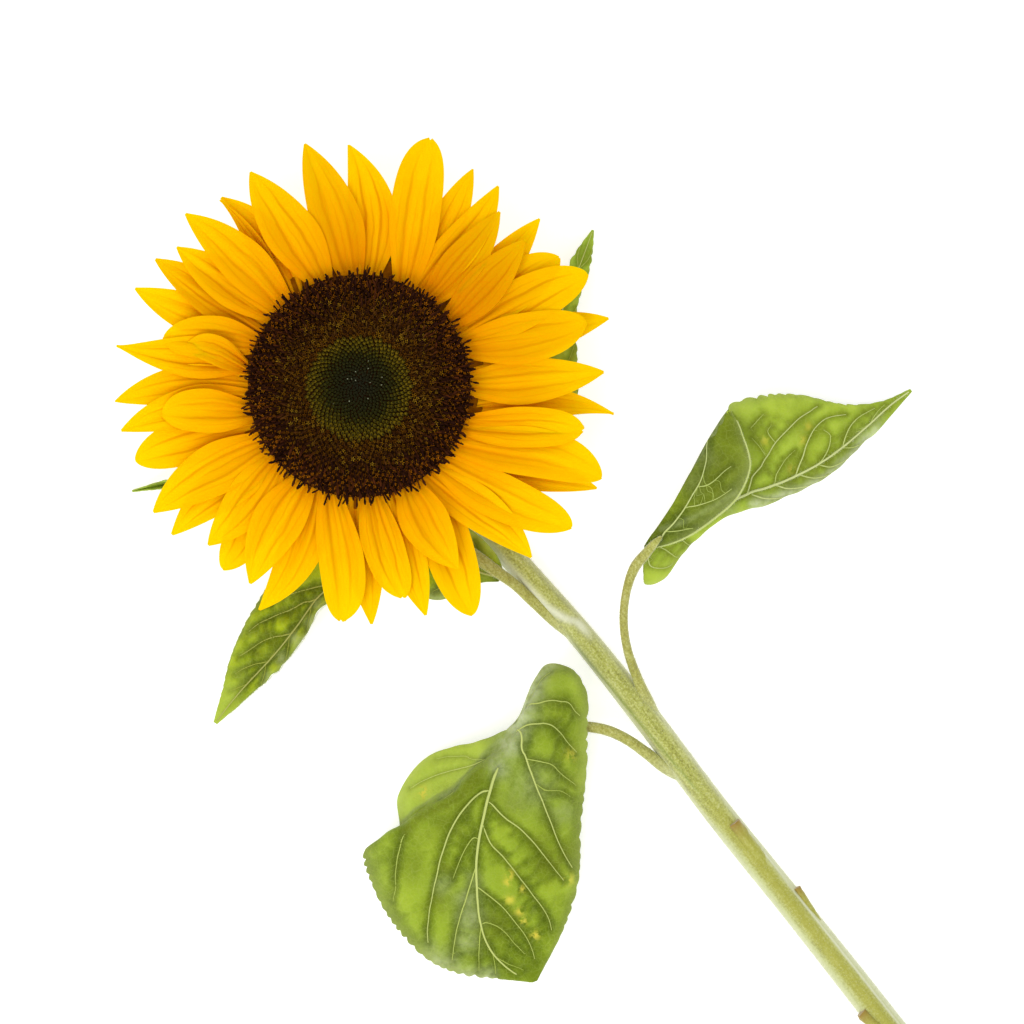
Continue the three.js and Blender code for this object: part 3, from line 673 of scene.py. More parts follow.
# Painted light held back where the petal is backed, then painted shade, less towards the tip.
ray_finish.over(ray_finish.mark("backed"), BACKED_TINT, "MULTIPLY")
ray_finish.over(ray_painted_shade * (1 - ray_along * 0.45), SHADE_TINT, "MULTIPLY")
streaks = nerves.step(0.50, 0.78) * (1 - ray_along * 0.8)
ray_finish.over(streaks * 0.25, (224, 142, 0))

# Lines of painted shade along the creases: where each lies across the ray, its width, where it ends,
# and how strong it is
CREASE_SHADE_LINES = [
    (-0.34, 0.075, 1.0, 0.8), (0.33, 0.075, 1.0, 0.8), (0.0, 0.05, 0.75, 0.55),
    (-0.64, 0.05, 0.8, 0.45), (0.62, 0.05, 0.8, 0.45),
]
CREASE_SHADE_BROWN = (206, 122, 0)


def crease_shade_line(place, width, last, strength):
    """A thin line of painted crease shade that wanders along the petal and fades out."""
    way = ray_finish.xyz(ray_along * 2.6, ray_chance * 40.0, place * 9.0)
    wander = ray_finish.noise(way, 1.0, 2) - 0.5
    away = (ray_across - place + wander * 0.36) * (1 / width)
    return (1 - (away * away).step(0.0, 1.0)) * (1 - ray_along.step(last - 0.4, last)) * strength


# Painted shade in the creases: thin wandering lines, and the creases' own depth.
crease_shade_lines = sum(crease_shade_line(*line) for line in CREASE_SHADE_LINES)
ray_finish.over(crease_shade_lines * (ray_chance * 0.4 + 0.3), CREASE_SHADE_BROWN)
ray_finish.over(ray_finish.mark("crease") * 0.35, CREASE_SHADE_BROWN)
# Painted shade in patches near the root.
painted_root_shade = (1 - ray_along.step(0.0, 0.24)) * soft_patches.step(0.45, 0.62)
ray_finish.over(painted_root_shade * 0.1, (150, 96, 4))
ray_finish.bump(nerves + crease_shade_lines * -0.5, 0.12, 0.6)

# %% Ray florets: the pieces
# Three pieces by level: the number is one that all levels in the piece lie under. The lowest piece
# also holds a seat for the roots, whose orange brown is partly the roots' own colour and partly
# painted shade between the rays.
RAY_PIECES = {"rays_back": 1.3, "rays_middle": 2.5, "rays_front": 9.0}
RAY_SEAT = [(0, 30.5), (37.8, 30.5), (37.6, 31.05), (0, 31.1)]
ROUND = 96


def turned(profile, finish=0, **marks):
    """A body turned about the head's axis."""
    points, faces, own = spindle(profile, ROUND)
    return Shape(points + np.array([0, HEAD_Y, 0]), faces, finish, **own, **marks)


# The seat is coloured partly as the roots and partly as painted shade between the rays.
seat_shade_finish = grained("ray_seat_shade", 0.8, (96, 48, 2), (168, 100, 4), Roughness=0.9, Specular_IOR_Level=0.0)
ray_draws = draws(11)
ray_sorted = {name: [] for name in RAY_PIECES}
for ray in RAYS:
    ray_home = next(name for name, top in RAY_PIECES.items() if ray.level < top)
    ray_sorted[ray_home].append(ray_shape(ray, ray_draws))
ray_sorted["rays_back"].append(turned(RAY_SEAT, 1))
for name, shapes in ray_sorted.items():
    make_piece(name, shapes, [ray_finish, seat_shade_finish], "rays", "ray_florets")

# %% [markdown]
# The disc holds more than two thousand florets. Each new one grows at the golden angle from the one
# before, which packs them evenly and gives the crossing spirals that a sunflower is known for. They
# stand close in the middle and wider at the rim, so the number of florets inside a radius is added
# up from the room that one needs there, and then read backwards: the radius of floret 1, 2, 3. The
# outermost ones are left out again, because the roots of the petals fill that zone.

# %% Disc: places
# Both tables run outwards: the disc's height, and the square millimetres that one floret needs
DISC_FACE = [(0, 36.2), (8, 36.6), (17.2, 37.3), (23, 38.2), (30, 37.2), (34.3, 35.2), (37, 33.0)]
FLORET_ROOM = [(0, 0.72), (10, 1.1), (17.2, 1.6), (34.3, 1.85)]
LAST_FLORET = 33.3
BED_RADIUS = 33.4
BED_SHIFT = 0.9
DISC_DRIFT = 0.038


def disc_height(radius):
    return np.interp(radius, *zip(*DISC_FACE))


fine_radii = np.linspace(0, DISC_RADIUS, 2001)
ring_areas = 2 * math.pi * fine_radii * np.gradient(fine_radii)
florets_within = np.cumsum(ring_areas / np.interp(fine_radii, *zip(*FLORET_ROOM)))
floret_number = np.arange(int(florets_within[-1]))
floret_radii = np.interp(floret_number + 0.5, florets_within, fine_radii)
floret_angles = floret_number * GOLDEN_ANGLE
floret_drift = DISC_DRIFT * (floret_radii / DISC_RADIUS) ** 3 * np.cos(floret_angles - SHADED_SIDE)
floret_radii = floret_radii * (1 - floret_drift)
print(len(floret_number), "florets")


def bud_edge(angle):
    """Radius where the closed buds end; their zone lies a little off the middle."""
    return BUD_RADIUS + BUD_SHIFT * np.cos(angle - BUD_BEARING)


def disc_places(radius, angle, sink):
    x, y = radius * np.cos(angle), radius * np.sin(angle)
    return np.stack([x, HEAD_Y + y, disc_height(radius) - sink], axis=-1)


def leaning(angle, tilt, sway):
    """Frames that tilt outwards from the head's axis by an angle, with some sway."""
    out = np.stack([np.cos(angle + sway), np.sin(angle + sway), np.zeros_like(angle)], axis=-1)
    up = out * np.sin(tilt)[:, None] + np.array([0, 0, 1.0]) * np.cos(tilt)[:, None]
    return frames_from(up, out)


# %% [markdown]
# Three templates fill the disc. A closed bud is a tooth, longer outwards than across. An open floret
# is a short tube whose rim spreads in five pointed lobes. Out of each stands its pin, a dark style
# with a swollen tip, and in some of them the tip has already split into two curling arms.


# %% Disc: templates
def template(*shapes):
    """Shapes joined into points, faces and marks that `scatter` copies."""
    starts = np.cumsum([0] + [len(shape.points) for shape in shapes])
    faces = [f + start for shape, start in zip(shapes, starts) for f in shape.faces]
    marks = {name: np.concatenate([shape.marks[name] for shape in shapes]) for name in shapes[0].marks}
    return np.concatenate([shape.points for shape in shapes]), faces, marks


def pin(path, radii, sides=5):
    path = evenly(path, len(radii) - 1)
    return tube(path, radii, sides, height=np.clip(path[:, 2] / 2 + 0.3, 0, 1))


def lobe(turn):
    """One pointed lobe of a floret's rim, bent outwards."""
    path = np.array([(0.16, 0, 0.1), (0.36, 0, 0.55), (0.52, 0, 0.72), (0.74, 0, 0.66)])
    spin = np.array([[math.cos(turn), math.sin(turn), 0], [-math.sin(turn), math.cos(turn), 0], [0, 0, 1]])
    return pin(path @ spin, [0.20, 0.16, 0.02], 3)


BUD = spindle([(0, -0.9), (0.36, -0.8), (0.42, 0.0), (0.34, 0.34), (0.16, 0.56), (0, 0.62)], 7)
BUD[0][:, :2] *= (1.3, 0.9)
LOBES = [lobe(k * 2 * math.pi / 5) for k in range(5)]
CROWN = template(pin([(0, 0, -1.1), (0, 0, 0.1)], [0.24, 0.28]), *LOBES)
PINS = [
    template(pin(
        [(0, 0, -1), (0, 0, 0.8), (0.05, 0, 1.7), (0.1, 0, 2.4)],
        [0.19, 0.18, 0.17, 0.17, 0.29, 0.16],
    )),
    template(pin(
        [(0, 0, -1), (0.1, 0, 0.9), (0.4, 0.1, 1.8), (0.65, 0.1, 2.2)],
        [0.19, 0.18, 0.17, 0.17, 0.28, 0.15],
    )),
    template(
        pin([(0, 0, -1), (0, 0, 0.8), (0.0, 0, 1.9)], [0.18, 0.16, 0.15, 0.15]),
        pin([(0, 0, 1.75), (0.3, 0, 2.2), (0.65, 0, 2.15), (0.75, 0, 1.9)], [0.16, 0.18, 0.16, 0.1]),
        pin([(0, 0, 1.75), (-0.28, 0.1, 2.1), (-0.55, 0.15, 2.1)], [0.16, 0.18, 0.1]),
    ),
]
PIN_SHARES = (0.5, 0.3, 0.2)

# %% [markdown]
# The colours follow the age of the florets: almost black green in the middle, olive where the buds
# are about to open, mustard brown lobes and near-black maroon pins outside. Everything low down is
# painted dark, because little light reaches it. A bud is brightest on its shoulders, round a tip
# painted dark as shade in the hollow there, so together the buds make a bright net. Low gloss matters
# here: a glossy dark surface looks grey.

# %% Disc: finishes
bud_finish = Finish("bud_olive", Roughness=0.8, Specular_IOR_Level=0.06)
bud_height, bud_ripe, bud_chance = bud_finish.marks("height", "ripe", "chance")
bud_finish.coat(bud_finish.ramp(
    bud_ripe + (bud_chance - 0.5) * 0.14,
    (0.0, 40, 40, 26), (0.4, 42, 42, 14), (0.62, 52, 50, 8), (0.82, 90, 77, 6), (1.0, 108, 87, 8),
))
bud_sparkle = bud_chance.step(0.955, 0.975) * (1 - bud_ripe.step(0.4, 0.7)) * bud_height.step(0.93, 0.99)
# Each bud's tip is painted dark, as shade in the hollow there, except on the few with a pale tip.
bud_hollow_shade = bud_height.step(0.84, 0.96) * (1 - bud_sparkle)
bud_finish.over(bud_sparkle, (140, 142, 118))
bud_finish.over(bud_hollow_shade * 0.85, (20, 17, 6))
# Painted shade low down on each bud.
bud_finish.beneath(bud_height.step(0.4, 0.66), (14, 12, 4))

floret_finish = Finish("floret_mustard", Roughness=0.85, Specular_IOR_Level=0.03)
floret_height, floret_chance, floret_rim = floret_finish.marks("height", "chance", "rim")
floret_finish.coat(floret_finish.ramp(
    floret_chance, (0.0, 84, 46, 4), (0.5, 112, 70, 6), (0.85, 136, 96, 12), (1.0, 158, 122, 30),
))
floret_finish.over(floret_rim.step(0.45, 0.95) * 0.5, (214, 124, 16))
# Painted shade low down in each floret.
floret_finish.beneath(floret_height.step(0.3, 0.6), (54, 26, 3))

style_finish = Finish("style_maroon", Roughness=0.8, Specular_IOR_Level=0.06)
style_chance, style_rim = style_finish.marks("chance", "rim")
style_dark = style_finish.ramp(style_chance, (0.0, 32, 10, 4), (0.6, 46, 18, 6), (1.0, 80, 38, 10))
style_young = style_finish.ramp(style_chance, (0.0, 44, 18, 6), (0.6, 66, 38, 8), (1.0, 96, 66, 14))
style_finish.coat(style_finish.blend(style_rim.step(0.1, 0.55), style_young, style_dark))

bed_finish = grained("disc_bed", 0.9, (24, 9, 2), (62, 32, 5), Roughness=0.9, Specular_IOR_Level=0.05)


# %% [markdown]
# Under the florets lies a bed, a shallow turned body with a closed floor, so that no light shows
# between them. The outer pins lean out over the petals, as they do when the rim has opened first.


# %% Disc: the pieces
BED_RINGS = 12


def bed(inner, outer, sink):
    """Body under a zone of the disc, from its inner to its outer radius."""
    top = [(r, disc_height(r) - sink) for r in np.linspace(outer, inner, BED_RINGS)]
    return turned([(0, FLORET_BASE), (outer, FLORET_BASE), *top, (0, top[-1][1] - 0.3)], 1)


def away_from_shade(shape, distance):
    """Moves a body a little towards the bright side of the head."""
    shape.points[:, :2] -= distance * np.array([math.cos(SHADED_SIDE), math.sin(SHADED_SIDE)])
    return shape


disc_draws = draws(23)
is_bud = floret_radii < bud_edge(floret_angles)
bud_r, bud_a = floret_radii[is_bud], floret_angles[is_bud]
bud_count = len(bud_r)
bud_room = np.sqrt(np.interp(bud_r, *zip(*FLORET_ROOM)))
bud_sizes = bud_room * (1.16 + disc_draws.normal(0, 0.08, bud_count))
bud_tilt = 0.10 + 0.018 * bud_r + disc_draws.normal(0, 0.1, bud_count)
bud_frames = leaning(bud_a, bud_tilt, disc_draws.normal(0, 0.3, bud_count))
bud_places = disc_places(bud_r, bud_a, 0.4) + disc_draws.normal(0, 0.07, (bud_count, 3))
bud_copies = scatter(
    BUD, bud_places, bud_frames, bud_sizes,
    ripe=bud_r / bud_edge(bud_a), chance=disc_draws.uniform(0, 1, bud_count),
)
bud_bed = bed(1.0, BUD_RADIUS + BUD_SHIFT, 0.8)
make_piece("disc_buds_fine", [bud_copies, bud_bed], [bud_finish, bed_finish], "closed_buds", "disc_buds")

is_open = ~is_bud & (floret_number < np.interp(LAST_FLORET, fine_radii, florets_within))
open_r, open_a = floret_radii[is_open], floret_angles[is_open]
open_count = len(open_r)
open_share = (open_r - bud_edge(open_a)) / (LAST_FLORET - bud_edge(open_a))
crown_tilt = 0.1 + 0.55 * open_share + disc_draws.normal(0, 0.2, open_count)
crown_frames = leaning(open_a, crown_tilt, disc_draws.normal(0, 0.5, open_count))
crown_copies = scatter(
    CROWN, disc_places(open_r, open_a, 0.55), crown_frames, 0.9 + disc_draws.normal(0, 0.13, open_count),
    chance=disc_draws.uniform(0, 1, open_count), rim=open_share,
)
crown_bed = away_from_shade(bed(BUD_RADIUS - BUD_SHIFT - 0.5, BED_RADIUS, 1.2), BED_SHIFT)
make_piece(
    "disc_florets_fine", [crown_copies, crown_bed], [floret_finish, bed_finish],
    "open_florets", "disc_florets",
)

pin_r = open_r - 0.5 * open_share + disc_draws.normal(0, 0.35, open_count)
pin_a = open_a + disc_draws.normal(0, 0.014, open_count)
pin_tilt = 0.55 + 0.68 * open_share + disc_draws.normal(0, 0.2, open_count)
pin_frames = leaning(pin_a, pin_tilt, disc_draws.normal(0, 0.35, open_count))
pin_sizes = 0.68 + 0.72 * open_share**0.9 + disc_draws.normal(0, 0.14, open_count)
pin_kind = disc_draws.choice(len(PINS), open_count, p=PIN_SHARES)
pin_copies = []
for kind, pin_template in enumerate(PINS):
    own = pin_kind == kind
    pin_copies.append(scatter(
        pin_template, disc_places(pin_r, pin_a, 0.5)[own], pin_frames[own], pin_sizes[own],
        chance=disc_draws.uniform(0, 1, own.sum()), rim=open_share[own],
    ))
make_piece("disc_pins", pin_copies, [style_finish], "open_florets", "disc_florets")

# %% [markdown]
# A leaf is one smooth sheet through a few rows of points, nearly the same rows that shaped its
# solid. Each row crosses the blade from margin to margin over the rib. `Surface` answers one
# question: where is the point so far along the leaf (0 to 1) and so far across it (-1 to 1)? Veins,
# teeth and hairs are all placed by asking it.


# %% Leaf surfaces
class Surface:
    """A smooth sheet through rows of five points; `between` holds rows with numbers such as 6.5."""

    ROWS, HALF = 260, 64

    def __init__(self, rows, upward=1, between=None):
        numbered = sorted({**dict(enumerate(rows)), **(between or {})}.items())
        numbers, rows = zip(*numbered)
        lines = []
        for row in np.reshape(rows, (-1, 5, 3)).astype(float):
            lines.append(np.concatenate([evenly(row[:3], self.HALF), evenly(row[2:], self.HALF)[1:]]))
        wanted = np.linspace(0, numbers[-1], self.ROWS + 1)
        self.grid = smooth(np.array(lines), np.interp(wanted, numbers, np.arange(len(numbers))))
        self.facing = grid_normals(self.grid) * upward
        self.upward = upward

    def sample(self, table, along, across):
        i = np.clip(np.asarray(along, float), 0, 1) * self.ROWS
        j = (np.clip(np.asarray(across, float), -1, 1) + 1) * self.HALF
        i0, j0 = np.minimum(i.astype(int), self.ROWS - 1), np.minimum(j.astype(int), 2 * self.HALF - 1)
        a, b = (i - i0)[..., None], (j - j0)[..., None]
        near = table[i0, j0] * (1 - b) + table[i0, j0 + 1] * b
        far = table[i0 + 1, j0] * (1 - b) + table[i0 + 1, j0 + 1] * b
        return near * (1 - a) + far * a

    def at(self, along, across):
        return self.sample(self.grid, along, across)

    def normal(self, along, across):
        return unit(self.sample(self.facing, along, across))

    def half_width(self, along, side):
        """Length of the row from the rib to one margin."""
        across = np.linspace(0, side, 24)
        points = self.at(np.asarray(along)[:, None], across[None])
        return np.sum(np.linalg.norm(np.diff(points, axis=1), axis=-1), axis=1)


# %% [markdown]
# Each row below is one line across a leaf: five points from margin to margin, each with its x, y and
# height. The first row lies at the stalk and the last one at the tip. The right leaf's rolled half
# ends in a tight turn, which needs a few rows more; their numbers say where they come in between.
# The two leaves of which little shows are given by their rib, with a half width at each of its
# points and one slope at which both halves fold up.

# %% Leaf rows
LEAF_LOW = [
    [-39.5, -94.9, 10, -35.5, -95.2, 11.5, -31, -95.8, 14, -28.8, -96, 13.4, -26, -96.4, 11],
    [-55, -87.2, 5, -44, -92.6, 10.5, -31.3, -96.4, 16.5, -24, -94.6, 17, -17, -90.6, 12],
    [-70, -90.8, 4, -51, -94.6, 11, -31.6, -97.4, 19, -20.8, -94, 21.2, -9.4, -87.8, 13.5],
    [-77, -99.5, 4.5, -55, -98.6, 15, -32.2, -98.6, 21.5, -19.6, -97, 22.8, -4.2, -94, 15.5],
    [-88.8, -97.6, 8.5, -60, -100.9, 21.5, -34, -100.2, 22.8, -20, -100.5, 22.8, -5.4, -102, 15.5],
    [-93.6, -108, 5, -66, -106, 18, -40.5, -103, 22, -23.5, -105.5, 21.8, -11.3, -109.6, 14.5],
    [-96, -122, 2.4, -74.5, -117, 13, -50, -109.5, 20, -33, -114, 19, -19, -119, 12],
    [-94.4, -136, 2, -80, -128, 9.6, -62, -120, 16.2, -45, -126, 15, -32, -132.5, 9],
    [-89, -146, 1.8, -81, -139, 7.2, -71, -133, 11, -57.5, -139, 9.4, -43.5, -145.5, 6.5],
    [-82.5, -152.6, 1.6, -79.5, -149.5, 4, -76.4, -146.5, 5.4, -67, -149.5, 5, -55, -153.5, 3.6],
    [-74.6, -160.4, 0.8, -74.2, -160.8, 0.8, -73.8, -161.2, 0.8, -73.2, -161.4, 0.8, -72.6, -161.6, 0.8],
]
LEAF_RIGHT = [
    [37.2, -79.6, 20, 35, -78.4, 19.2, 34, -80.5, 17, 32.6, -82.2, 15.8, 31.2, -84, 14.4],
    [42.4, -82.2, 22.4, 39.5, -76.6, 20.6, 37, -80, 17, 33.6, -84, 14.4, 29.4, -87.4, 11],
    [49, -84, 24, 45, -75, 21.4, 41, -80.3, 16.4, 38, -86, 12.4, 34.5, -89.6, 8.4],
    [57.4, -84.6, 24.8, 55, -71.2, 21.4, 49, -81.3, 15.4, 47.6, -85.7, 11.8, 44.6, -87, 7.4],
    [67.4, -84, 24.4, 65.2, -67.6, 20.4, 58, -82.6, 14.4, 59.4, -85.7, 11, 58.4, -84.9, 6],
    [76, -79.4, 23, 72.6, -64.6, 18.9, 67, -84.6, 13.4, 69.6, -89.2, 10, 70.8, -88.6, 5],
    [80.4, -70.6, 20.7, 80.4, -61.4, 17.4, 74, -86.6, 12.6, 76.5, -92.3, 9.3, 78, -91.2, 4.3],
    [82.8, -60.9, 16.2, 83.4, -73.6, 13.8, 82.6, -89.4, 11.4, 86, -95, 8.1, 87.5, -93.6, 3.8],
    [93, -64.6, 11.6, 94, -79, 12.2, 92, -91.3, 10, 94.5, -96.5, 7, 96, -94.8, 2.8],
    [102, -71.6, 8.4, 103, -83.5, 9.4, 102, -92.2, 8, 104, -96, 5.4, 105, -94.6, 2.2],
    [111.5, -83, 5, 112, -88, 6, 112, -92.2, 5.4, 113, -94.6, 4, 114, -95.2, 2.2],
    [121.2, -89.5, 2.6, 121.8, -90.7, 2.9, 122.2, -91.9, 2.8, 122.6, -93, 2.4, 123, -94, 1.8],
    [130.3, -91.9, 0.8, 130.3, -92.1, 0.8, 130.3, -92.4, 0.8, 130.3, -92.7, 0.8, 130.3, -92.9, 0.8],
]
FOLD_END = {
    5.5: [78.6, -75.4, 22, 76.8, -63, 18.1, 70.5, -85.7, 13, 72.9, -91, 9.7, 74.3, -90.1, 4.7],
    6.25: [81.4, -68, 19.7, 81.6, -61.3, 17.3, 76.2, -87.4, 12.3, 78.9, -93, 9, 80.4, -91.8, 4.1],
    6.5: [82, -65.6, 18.6, 82.3, -61.5, 17, 78.3, -88.1, 12, 81.2, -93.7, 8.7, 82.7, -92.4, 4],
}
LEAF_LEFT = [
    [-1.9, -57.6, 9.3, -2.6, -58, 9.2, -3.4, -58.4, 9, -4.2, -58.6, 8.6, -5, -58.7, 8.2],
    [-0.4, -51.5, 9.9, -3.4, -53, 9.9, -6.8, -54, 9.6, -8.2, -54.9, 9, -9.6, -55.4, 8.4],
    [-2.2, -39.5, 9.4, -6, -43.5, 9.9, -10.8, -47, 10.4, -16.5, -50, 9.4, -22.4, -51.8, 8],
    [-10, -24, 8, -12, -32, 9.8, -16, -40.5, 10.8, -22, -43.2, 10.4, -27.4, -45.4, 10.4],
    [-20, -13, 6.4, -21, -23, 9.2, -24, -34, 11, -28, -37.6, 11.8, -30.6, -39.6, 13],
    [-33, -9, 5.2, -34, -18, 8.4, -36, -28.8, 10.6, -38.5, -32.8, 12.4, -39.5, -34.6, 14.6],
    [-47, -10.5, 4.2, -48, -19, 7.4, -49, -27.2, 9.6, -50.3, -30.3, 11.6, -51, -31.4, 14],
    [-61, -15.6, 3, -61, -22.8, 6.2, -60.9, -29, 8.2, -61.6, -32.8, 9.8, -61.6, -35, 11.6],
    [-73, -20, 2.2, -72, -26.4, 4.8, -71.5, -31.5, 6.4, -72.2, -35.2, 7.6, -72.8, -37.8, 8.8],
    [-84, -25.8, 1.6, -82, -30, 3.5, -81, -33.8, 4.5, -81.5, -36.3, 5.2, -82.2, -38.3, 5.8],
    [-92, -31.8, 1.2, -91.2, -34, 2, -90.5, -36, 2.5, -91, -37.4, 2.8, -91.6, -38.6, 2.8],
    [-100.2, -37.7, 0.8, -100.1, -38, 0.8, -100, -38.2, 0.8, -99.9, -38.5, 0.8, -99.8, -38.8, 0.8],
]
LEAF_TOP_RIB = [
    [23, -30, 10], [30, -25.5, 11], [40, -19.5, 11.6], [52, -12.5, 11], [64, -5.3, 8.8],
    [76, 1.6, 5], [85, 7, 0.8],
]
LEAF_TOP_HALF = [2.5, 11.5, 14.5, 9.5, 4.2, 3.3, 0.4]
LEAF_TOP_FOLD = 0.22
LEAF_SIDE_RIB = [
    [-9, -1.8, 7.6], [-19, 3.4, 8.6], [-31, 9.8, 9], [-43, 16.1, 8.4], [-55, 22.5, 6.8],
    [-66, 28.3, 4], [-75.3, 33.2, 0.8],
]
LEAF_SIDE_HALF = [1.2, 4.6, 6.6, 6.4, 4.6, 2.4, 0.4]
LEAF_SIDE_FOLD = 1.5


def rows_on_rib(rib, half, fold):
    """Rows of five points from a rib line, half widths and how steeply the margins fold up."""
    rib = np.asarray(rib, float)
    heading = np.gradient(rib[:, :2], axis=0)
    side = unit(np.stack([-heading[:, 1], heading[:, 0]], axis=-1))
    rows = []
    for spot, direction, width in zip(rib, side, half):
        row = []
        for share in (1, 0.5, 0, -0.5, -1):
            reach, rise = width * share / math.hypot(1, fold), fold * width * abs(share)
            row.append([spot[0] + direction[0] * reach, spot[1] + direction[1] * reach, spot[2] + rise])
        rows.append(row)
    return rows


# %% [markdown]
# A vein is drawn as a list of places on the leaf. The large ones are listed one by one, because they
# give a leaf its character: a row holds the vein's radius and then its places, along and across, in
# thousandths. The first vein of a leaf is its rib. The small cross veins between them follow a rule:
# they join neighbours like the rungs of a ladder, with some random slant.


# %% Leaf veins
def by_hand(*rows):
    """Veins from rows of a radius and places along and across in thousandths."""
    return [(size, np.reshape(places, (-1, 2)) / 1000) for size, *places in rows]


LOW_VEINS = by_hand(
    (0.62, 480, -20, 530, -20, 580, -20, 680, -30, 750, -50, 800, -120, 860, -180, 910, -200, 960, -350),
    (0.46, 250, 120, 340, 145, 420, 167, 475, 240, 517, 317,
     600, 467, 646, 583, 683, 683, 742, 833, 770, 920),
    (0.34, 260, 100, 300, 220, 380, 370, 450, 570, 520, 750, 560, 880),
    (0.32, 160, 440, 200, 450, 242, 467, 292, 550, 354, 667, 383, 750, 429, 817, 460, 900),
    (0.26, 140, 200, 150, 500, 200, 780, 230, 880),
    (0.28, 520, 320, 550, 500, 570, 620, 600, 730, 630, 900),
    (0.24, 600, 470, 620, 580, 630, 730, 650, 880),
    (0.42, 550, -30, 520, -120, 510, -220, 520, -320, 545, -410,
     570, -490, 600, -570, 620, -630, 650, -750, 680, -880),
    (0.4, 590, 0, 640, 200, 675, 380, 710, 530, 760, 720, 790, 840),
    (0.36, 640, 0, 680, 100, 720, 250, 760, 380, 805, 530, 860, 700, 900, 800),
    (0.26, 660, -30, 630, -140, 625, -230, 635, -320, 650, -400),
    (0.3, 750, -50, 785, 100, 810, 200, 855, 330, 900, 450, 950, 550),
    (0.24, 820, -120, 845, 100, 870, 200, 900, 270, 930, 360),
    (0.2, 900, -190, 940, 0, 965, 150),
    (0.3, 710, -40, 730, -220, 740, -400, 750, -600, 760, -870),
    (0.24, 820, -140, 835, -350, 845, -600, 850, -850),
    (0.2, 890, -200, 900, -450, 905, -800),
    (0.26, 420, -710, 438, -733, 467, -767, 504, -817, 529, -850, 554, -917),
    (0.32, 288, -217, 267, -300, 233, -417, 208, -533, 192, -667, 190, -800, 195, -900),
    (0.26, 275, -233, 200, -360, 162, -433, 125, -667, 121, -833),
    (0.22, 362, -400, 362, -467, 346, -533),
)
RIGHT_VEINS = by_hand(
    (0.7, 20, 0, 120, 0, 250, 0, 360, 0, 460, -10, 560, 10,
     630, 30, 700, 50, 780, 50, 860, 40, 940, 0, 990, 0),
    (0.34, 455, 0, 492, -100, 542, -217, 617, -417, 667, -517, 717, -617, 742, -667, 765, -750),
    (0.24, 617, -417, 617, -533, 621, -583, 633, -617),
    (0.2, 575, -317, 575, -450, 571, -550),
    (0.32, 610, 20, 654, -150, 696, -333, 746, -467, 788, -533, 812, -560),
    (0.24, 550, 0, 579, -117, 621, -217, 645, -250),
    (0.26, 672, 50, 717, -67, 742, -217, 735, -333),
    (0.28, 750, 50, 792, -183, 838, -400, 883, -500),
    (0.2, 850, 20, 880, -200, 910, -400),
    (0.34, 470, 30, 485, 330, 510, 500, 540, 700),
    (0.34, 550, 20, 560, 320, 590, 550, 620, 750),
    (0.3, 620, 40, 635, 400, 660, 550, 690, 750),
    (0.28, 675, 60, 690, 380, 720, 530, 750, 700),
    (0.24, 750, 60, 770, 400, 800, 650),
    (0.22, 592, -683, 610, -720, 638, -770),
    (0.34, 90, -730, 133, -667, 180, -667, 221, -667, 279, -650, 333, -600, 362, -583, 400, -570),
    (0.26, 279, -650, 308, -733, 354, -783, 380, -830),
    (0.26, 221, -667, 258, -800, 296, -867, 338, -917),
    (0.24, 129, -683, 150, -780, 192, -930),
    (0.3, 50, 100, 79, 400, 142, 600, 200, 767),
    (0.26, 150, 50, 175, 217, 204, 583, 220, 750),
    (0.24, 220, 50, 233, 283, 246, 533, 260, 750),
)
LEFT_VEINS = by_hand(
    (0.5, 20, 0, 150, 20, 300, 50, 450, 100, 550, 150, 600, 250,
     650, 300, 730, 270, 800, 200, 875, 80, 940, 0, 990, 0),
    (0.3, 500, 120, 540, -70, 575, -230, 600, -380, 630, -570, 660, -750),
    (0.32, 560, 180, 590, -70, 620, -180, 650, -330, 680, -500, 710, -670, 740, -800),
    (0.3, 660, 300, 700, -120, 730, -300, 755, -420, 780, -550, 800, -700),
    (0.24, 760, 240, 790, -100, 820, -350, 850, -600),
    (0.2, 850, 120, 880, -200, 900, -500),
    (0.3, 380, 70, 420, -200, 470, -450, 520, -750),
    (0.3, 250, 40, 280, -250, 330, -500, 380, -800),
    (0.26, 100, 0, 120, -350, 160, -750),
    (0.26, 150, 50, 180, 400, 220, 800),
    (0.26, 300, 80, 340, 450, 380, 800),
    (0.26, 450, 120, 480, 500, 510, 850),
    (0.24, 580, 220, 600, 600, 620, 900),
    (0.22, 670, 320, 690, 650, 710, 900),
    (0.2, 770, 250, 790, 600, 810, 900),
)


# How far along and how far across a side vein of a small leaf has come at its points
PAIR_CURVE = [(0, 0), (0.3, 0.3), (0.7, 0.62), (1.25, 0.88)]


def paired_veins(size, starts):
    """Rib and pairs of side veins for a small leaf, by rule."""
    veins = [(size, [(0.02, 0), (0.5, 0), (0.99, 0)])]
    for start in starts:
        reach = 0.16 * (1 - start) + 0.05
        for side in (-1, 1):
            veins.append((size * 0.55, [(start + far * reach, wide * side) for far, wide in PAIR_CURVE]))
    return veins


# %% [markdown]
# The blade itself is a fine grid. Its margin steps in and out for the teeth, which have their own
# spacing and depth on each side of a leaf. Between the veins the blade bulges up and at them it is
# held down, which is why a sunflower leaf looks quilted: each point moves along the surface's normal
# by how far it is from the nearest vein. The veins are tubes that lie on the blade, sunk in a little
# and standing out more than half, on whichever side of the leaf looks up.


# %% Leaf making
LEAF_THICKNESS = 0.36
VEIN_STEP = 0.4
KINK = np.array([0.0003, 0.0016])
TOP_SUNK, UNDERSIDE_SUNK = 0.2, 0.1
RUNG_EVERY = 9
RUNG_SIZE = 0.17
RUNG_GAP = (2.5, 11.0)
RUNG_BENDS = (0.35, 0.65)
RUNG_SLANT = 0.007
CROWDING = 0.9
TIP_START = 0.86
WIDE_TEETH = 6.0
ROUND_TEETH = 2.8
Teeth = namedtuple("Teeth", "every depth start")


